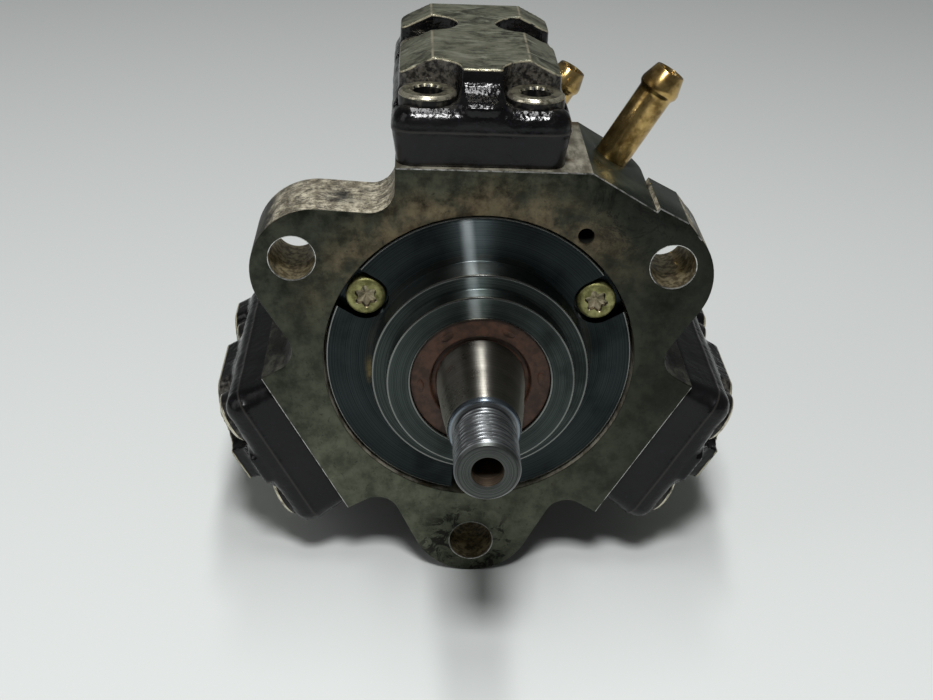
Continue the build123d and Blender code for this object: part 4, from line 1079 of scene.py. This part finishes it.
for angle in THIRDS:
    notch = rod(NOTCH_R, 20, 56)
    outer_half = [v for v in notch.verts if v.co.x > 1e-5]
    bmesh.ops.translate(notch, verts=outer_half, vec=(16 * MM, 0, 0))
    bore = rod(2.7, 30, 32)
    for tool_mesh, sunk in ((notch, NOTCH_FLOOR - 10), (bore, 0)):
        turned(tool_mesh, 90, "X")
        bmesh.ops.translate(tool_mesh, verts=tool_mesh.verts, vec=(COVER_SCREW_CIRCLE * MM, sunk * MM, 0))
        tool = object_of("cutter", turned(tool_mesh, -angle, "Y"))
        cut = cover.modifiers.new("cut", "BOOLEAN")
        cut.operation = "DIFFERENCE"
        cut.solver = "EXACT"
        cut.object = tool
        bpy.context.view_layer.update()
        apply_modifiers(cover)
        tool_data = tool.data
        bpy.data.objects.remove(tool)
        bpy.data.meshes.remove(tool_data)
cover_mesh = bmesh.new()
cover_mesh.from_mesh(cover.data)
shade(cover_mesh, HINGE_ANGLE)
cover_mesh.to_mesh(cover.data)
open_edges = [e for e in cover_mesh.edges if len(e.link_faces) != 2]
print("cover faces", len(cover.data.polygons), "open edges", len(open_edges))
cover_mesh.free()

# %% [markdown]
# The shaft is spun from its outline too. Its thread is cut by pushing rows of points inwards,
# by an amount that depends on the distance along the shaft plus the share of a turn.

# %% Threads
PITCH = 1.5
THREAD_DEPTH = 0.92


def cut_thread(mesh, low, high, radius):
    """Cuts a right-hand thread between two heights of a mesh made about Z."""
    for point in mesh.verts:
        z = point.co.z / MM
        r = math.hypot(point.co.x, point.co.y) / MM
        if low < z < high and abs(r - radius) < 0.02:
            share = (z / PITCH - math.atan2(point.co.y, point.co.x) / (2 * math.pi)) % 1.0
            tri = abs(share - 0.5) * 2
            root = 1 - min(1.0, max(0.0, (tri - 0.10) / 0.76))
            fade = min(1.0, (z - low) / 0.6, (high - z) / 0.6)
            factor = (radius - THREAD_DEPTH * root * fade) / r
            point.co.x *= factor
            point.co.y *= factor
    return mesh


def rows(radius, low, high, step=0.125):
    """Outline points at one radius, close enough for a thread."""
    count = int(round((high - low) / step))
    return [(radius, low + (high - low) * i / count) for i in range(count + 1)]


print("outline points in one turn of thread", len(rows(1, 0, PITCH)) - 1)

# %% Drive shaft
THREAD_R, THREAD_START, THREAD_END = 7.0, -49.1, -36.5
THROW = 3.2
shaft_outline = [(0, -37.0), (2.9, -39.0), (3.3, -41.0), (3.3, -49.4), (3.45, -49.8), (3.85, -50.0),
                 (5.9, -50.0), (6.3, -49.9), (6.75, -49.4)]
shaft_outline += rows(THREAD_R, THREAD_START, THREAD_END)
shaft_outline += [(6.2, -35.9), (5.9, -35.6), (5.9, -33.9), (6.1, -33.62), (7.3, -33.5), (7.62, -33.42),
                  (7.78, -33.1), (7.86, -32.7), (7.98, -32.2), (8.06, -31.8), (8.16, -31.3), (9.0, -24.0),
                  (9.9, -13.2), (9.98, -12.7), (10.0, -12.3), (10.0, -2.8), (11.3, -2.0), (11.5, -1.8),
                  (11.5, 59.2), (10.7, 60.0), (0, 60.0)]
shaft_mesh = cut_thread(lathe(shaft_outline, 128), THREAD_START, THREAD_END, THREAD_R)


def shaft_region(p, n):
    """Finish of a face of the shaft before it is turned along Y."""
    r = math.hypot(p.x, p.y)
    if p.z < -36.9 and r < 3.6:
        return 4
    if p.z < -49.3:
        return 3
    if p.z < -33.5:
        return 1
    if p.z < -32.0:
        return 2
    return 0


turned(paint(shaft_mesh, shaft_region), -90, "X")
throw_outline = [(0, 20.6), (14.6, 20.6), (15.0, 21.0), (15.0, 38.0), (14.6, 38.4), (0, 38.4)]
eccentric = turned(lathe(throw_outline, 96), -90, "X")
bmesh.ops.translate(eccentric, verts=eccentric.verts, vec=(0, 0, THROW * MM))
make_piece(joined([shaft_mesh, eccentric]), "shaft",
           [shaft_steel, shaft_thread, shaft_step, shaft_tip, centre_hole], "drive_shaft",
           body="shaft")

# %% [markdown]
# The seal is moulded rubber with a shallow ring round the lip and six small oval pads on its face.

# %% Shaft seal
seal_outline = [(10.03, -9.3), (10.3, -9.05), (11.0, -8.95), (11.3, -9.2), (11.45, -10.25), (11.7, -10.42),
                (12.3, -10.42), (12.45, -10.34), (15.5, -10.34), (15.85, -10.26), (15.98, -10.0),
                (15.98, -3.42), (14.4, -3.4), (14.4, -8.0), (12.6, -8.0), (12.9, -4.8), (11.9, -4.8),
                (11.9, -5.9), (11.0, -5.9), (10.7, -4.5), (10.03, -5.4), (10.8, -7.0), (10.8, -8.6),
                (10.03, -8.9)]
PAD_CIRCLE = 13.75
seal_mesh = lathe(seal_outline, 128, closed=True)
pads = []
for i in range(6):
    pad = rod(0.95, 0.8, 36, 1.0)
    bmesh.ops.scale(pad, vec=(0.70, 1.55, 1.0), verts=pad.verts)
    soften(pad, list(pad.edges), 0.08, 2)
    bmesh.ops.translate(pad, verts=pad.verts, vec=(PAD_CIRCLE * MM, 0, -10.22 * MM))
    pads.append(turned(pad, -5 + 60 * i, "Z"))
make_piece(turned(joined([seal_mesh] + pads), -90, "X"), "seal", [seal_rubber], "shaft_seal")

# %% [markdown]
# The hose nipples are thin plated tubes with one barb. They are spun, then given two or three small dents,
# because such tubes never stay perfectly round.

# %% Hose nipples


def nipple(name, place, sunk):
    """A barbed nipple on the sloping side."""
    outline = [(2.8, -sunk), (4.1, -sunk), (4.1, 0.0), (4.1, 6.0), (4.1, 12.0), (4.1, 17.6), (4.12, 18.2),
               (4.3, 18.6), (4.66, 19.15), (4.75, 19.4), (4.75, 20.2), (4.68, 20.5), (3.65, 24.1),
               (3.5, 24.34), (3.2, 24.4), (2.95, 24.3), (2.8, 23.9)]
    mesh = lathe(outline, 72, closed=True)
    for point in mesh.verts:
        height = point.co.z / MM
        if 0.5 < height < 24.2 and math.hypot(point.co.x, point.co.y) > 0.0033:
            point.co.xy *= 1 + 0.012 * lumps.noise(point.co * 160.0)
    stand(mesh, place, NIPPLE_SIDE)
    make_piece(mesh, name, [nipple_zinc], name.replace("_tube", ""))


side_way = around(-30)
nipple("inlet_nipple_tube", NIPPLE_SIDE * 52.403 + side_way * 4.5 + Vector((0, 22.6, 0)), 5.2)
nipple("return_nipple_tube", NIPPLE_SIDE * 31.9 + side_way * -3.4 + Vector((0, 71.5, 0)), 8.0)

# %% [markdown]
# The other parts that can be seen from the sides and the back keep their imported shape.
# Their sharp edges are broken by a quarter or half of a millimetre, as on any machined or moulded part.

# %% Other visible parts
for name, width, finish, slot in (("control_valve_coil", 0.6, coil_plastic, "coil_plastic"),
                                  ("control_valve_body", 0.3, plain_steel, "steel"),
                                  ("control_valve_screws", 0.25, plain_steel, "steel"),
                                  ("safety_valve_plug", 0.2, plain_steel, "steel")):
    mesh = copy_of(name)
    soften(mesh, sharp_edges(mesh), width, 2)
    make_piece(mesh, name + "_finished", [finish], name)
    print(name, "edges broken by", width, "mm")

# %% Pipe connector
PIPE_THREAD_R, PIPE_THREAD_START, PIPE_THREAD_END = 6.98, 10.2, 20.2
HEX_ACROSS = 17.0
connector_outline = [(1.5, -7.0), (6.2, -7.0), (6.98, -6.2), (6.98, 0.5), (6.98, 6.9), (6.0, 8.1),
                     (6.0, 9.3)]
connector_outline += rows(PIPE_THREAD_R, PIPE_THREAD_START, PIPE_THREAD_END)
connector_outline += [(6.2, 21.0), (4.6, 21.0), (1.5, 17.0)]
connector = lathe(connector_outline, 96, closed=True)
cut_thread(connector, PIPE_THREAD_START, PIPE_THREAD_END, PIPE_THREAD_R)
collar = rod(HEX_ACROSS / math.sqrt(3), 6, 6)
bmesh.ops.translate(collar, verts=collar.verts, vec=(0, 0, 3 * MM))
soften(collar, list(collar.edges), 0.4, 3)
connector = joined([connector, collar])
stand(connector, (0, 69.5, -31.5), (0, 0, -1))
make_piece(connector, "pipe_connector", [plain_steel], "outlet_connector")

# %% [markdown]
# Each valve spring stands on a fixed seat at one end, and gets shorter as its valve lifts. Here each spring is
# only copied into a piece with a mesh of its own.

# %% Valve springs
joints = [joint for joint in frame["record"]["behaviour"]["joints"] if joint["type"] == "slide"]
for joint in joints:
    seat = joint["deforming_nodes"][0]
    mesh = copy_of(seat["node"])
    spring = make_piece(mesh, seat["node"] + "_coil", [plain_steel], seat["node"])
    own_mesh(spring)

# %% [markdown]
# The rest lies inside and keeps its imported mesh: bronze bushes, rubber rings, tinned pins and plain steel.

# %% Finishes on the nodes that keep their shape


def dress(name, finish):
    """Gives a node its finish."""
    node = nodes[name]
    node.data.materials.clear()
    node.data.materials.append(finish)


own_finish = {"front_bush": bronze, "rear_bush": bronze, "ring_bush": bronze, "thrust_washers": bronze,
              "cover_o_ring": black_rubber, "barrel_o_rings": black_rubber,
              "control_valve_o_ring": black_rubber, "contact_pins": tinned}
for name, finish in own_finish.items():
    dress(name, finish)
hidden = sorted(name for name, node in nodes.items() if name not in own_finish and not node.hide_render)
for name in hidden:
    dress(name, plain_steel)
print("steel nodes", len(hidden))
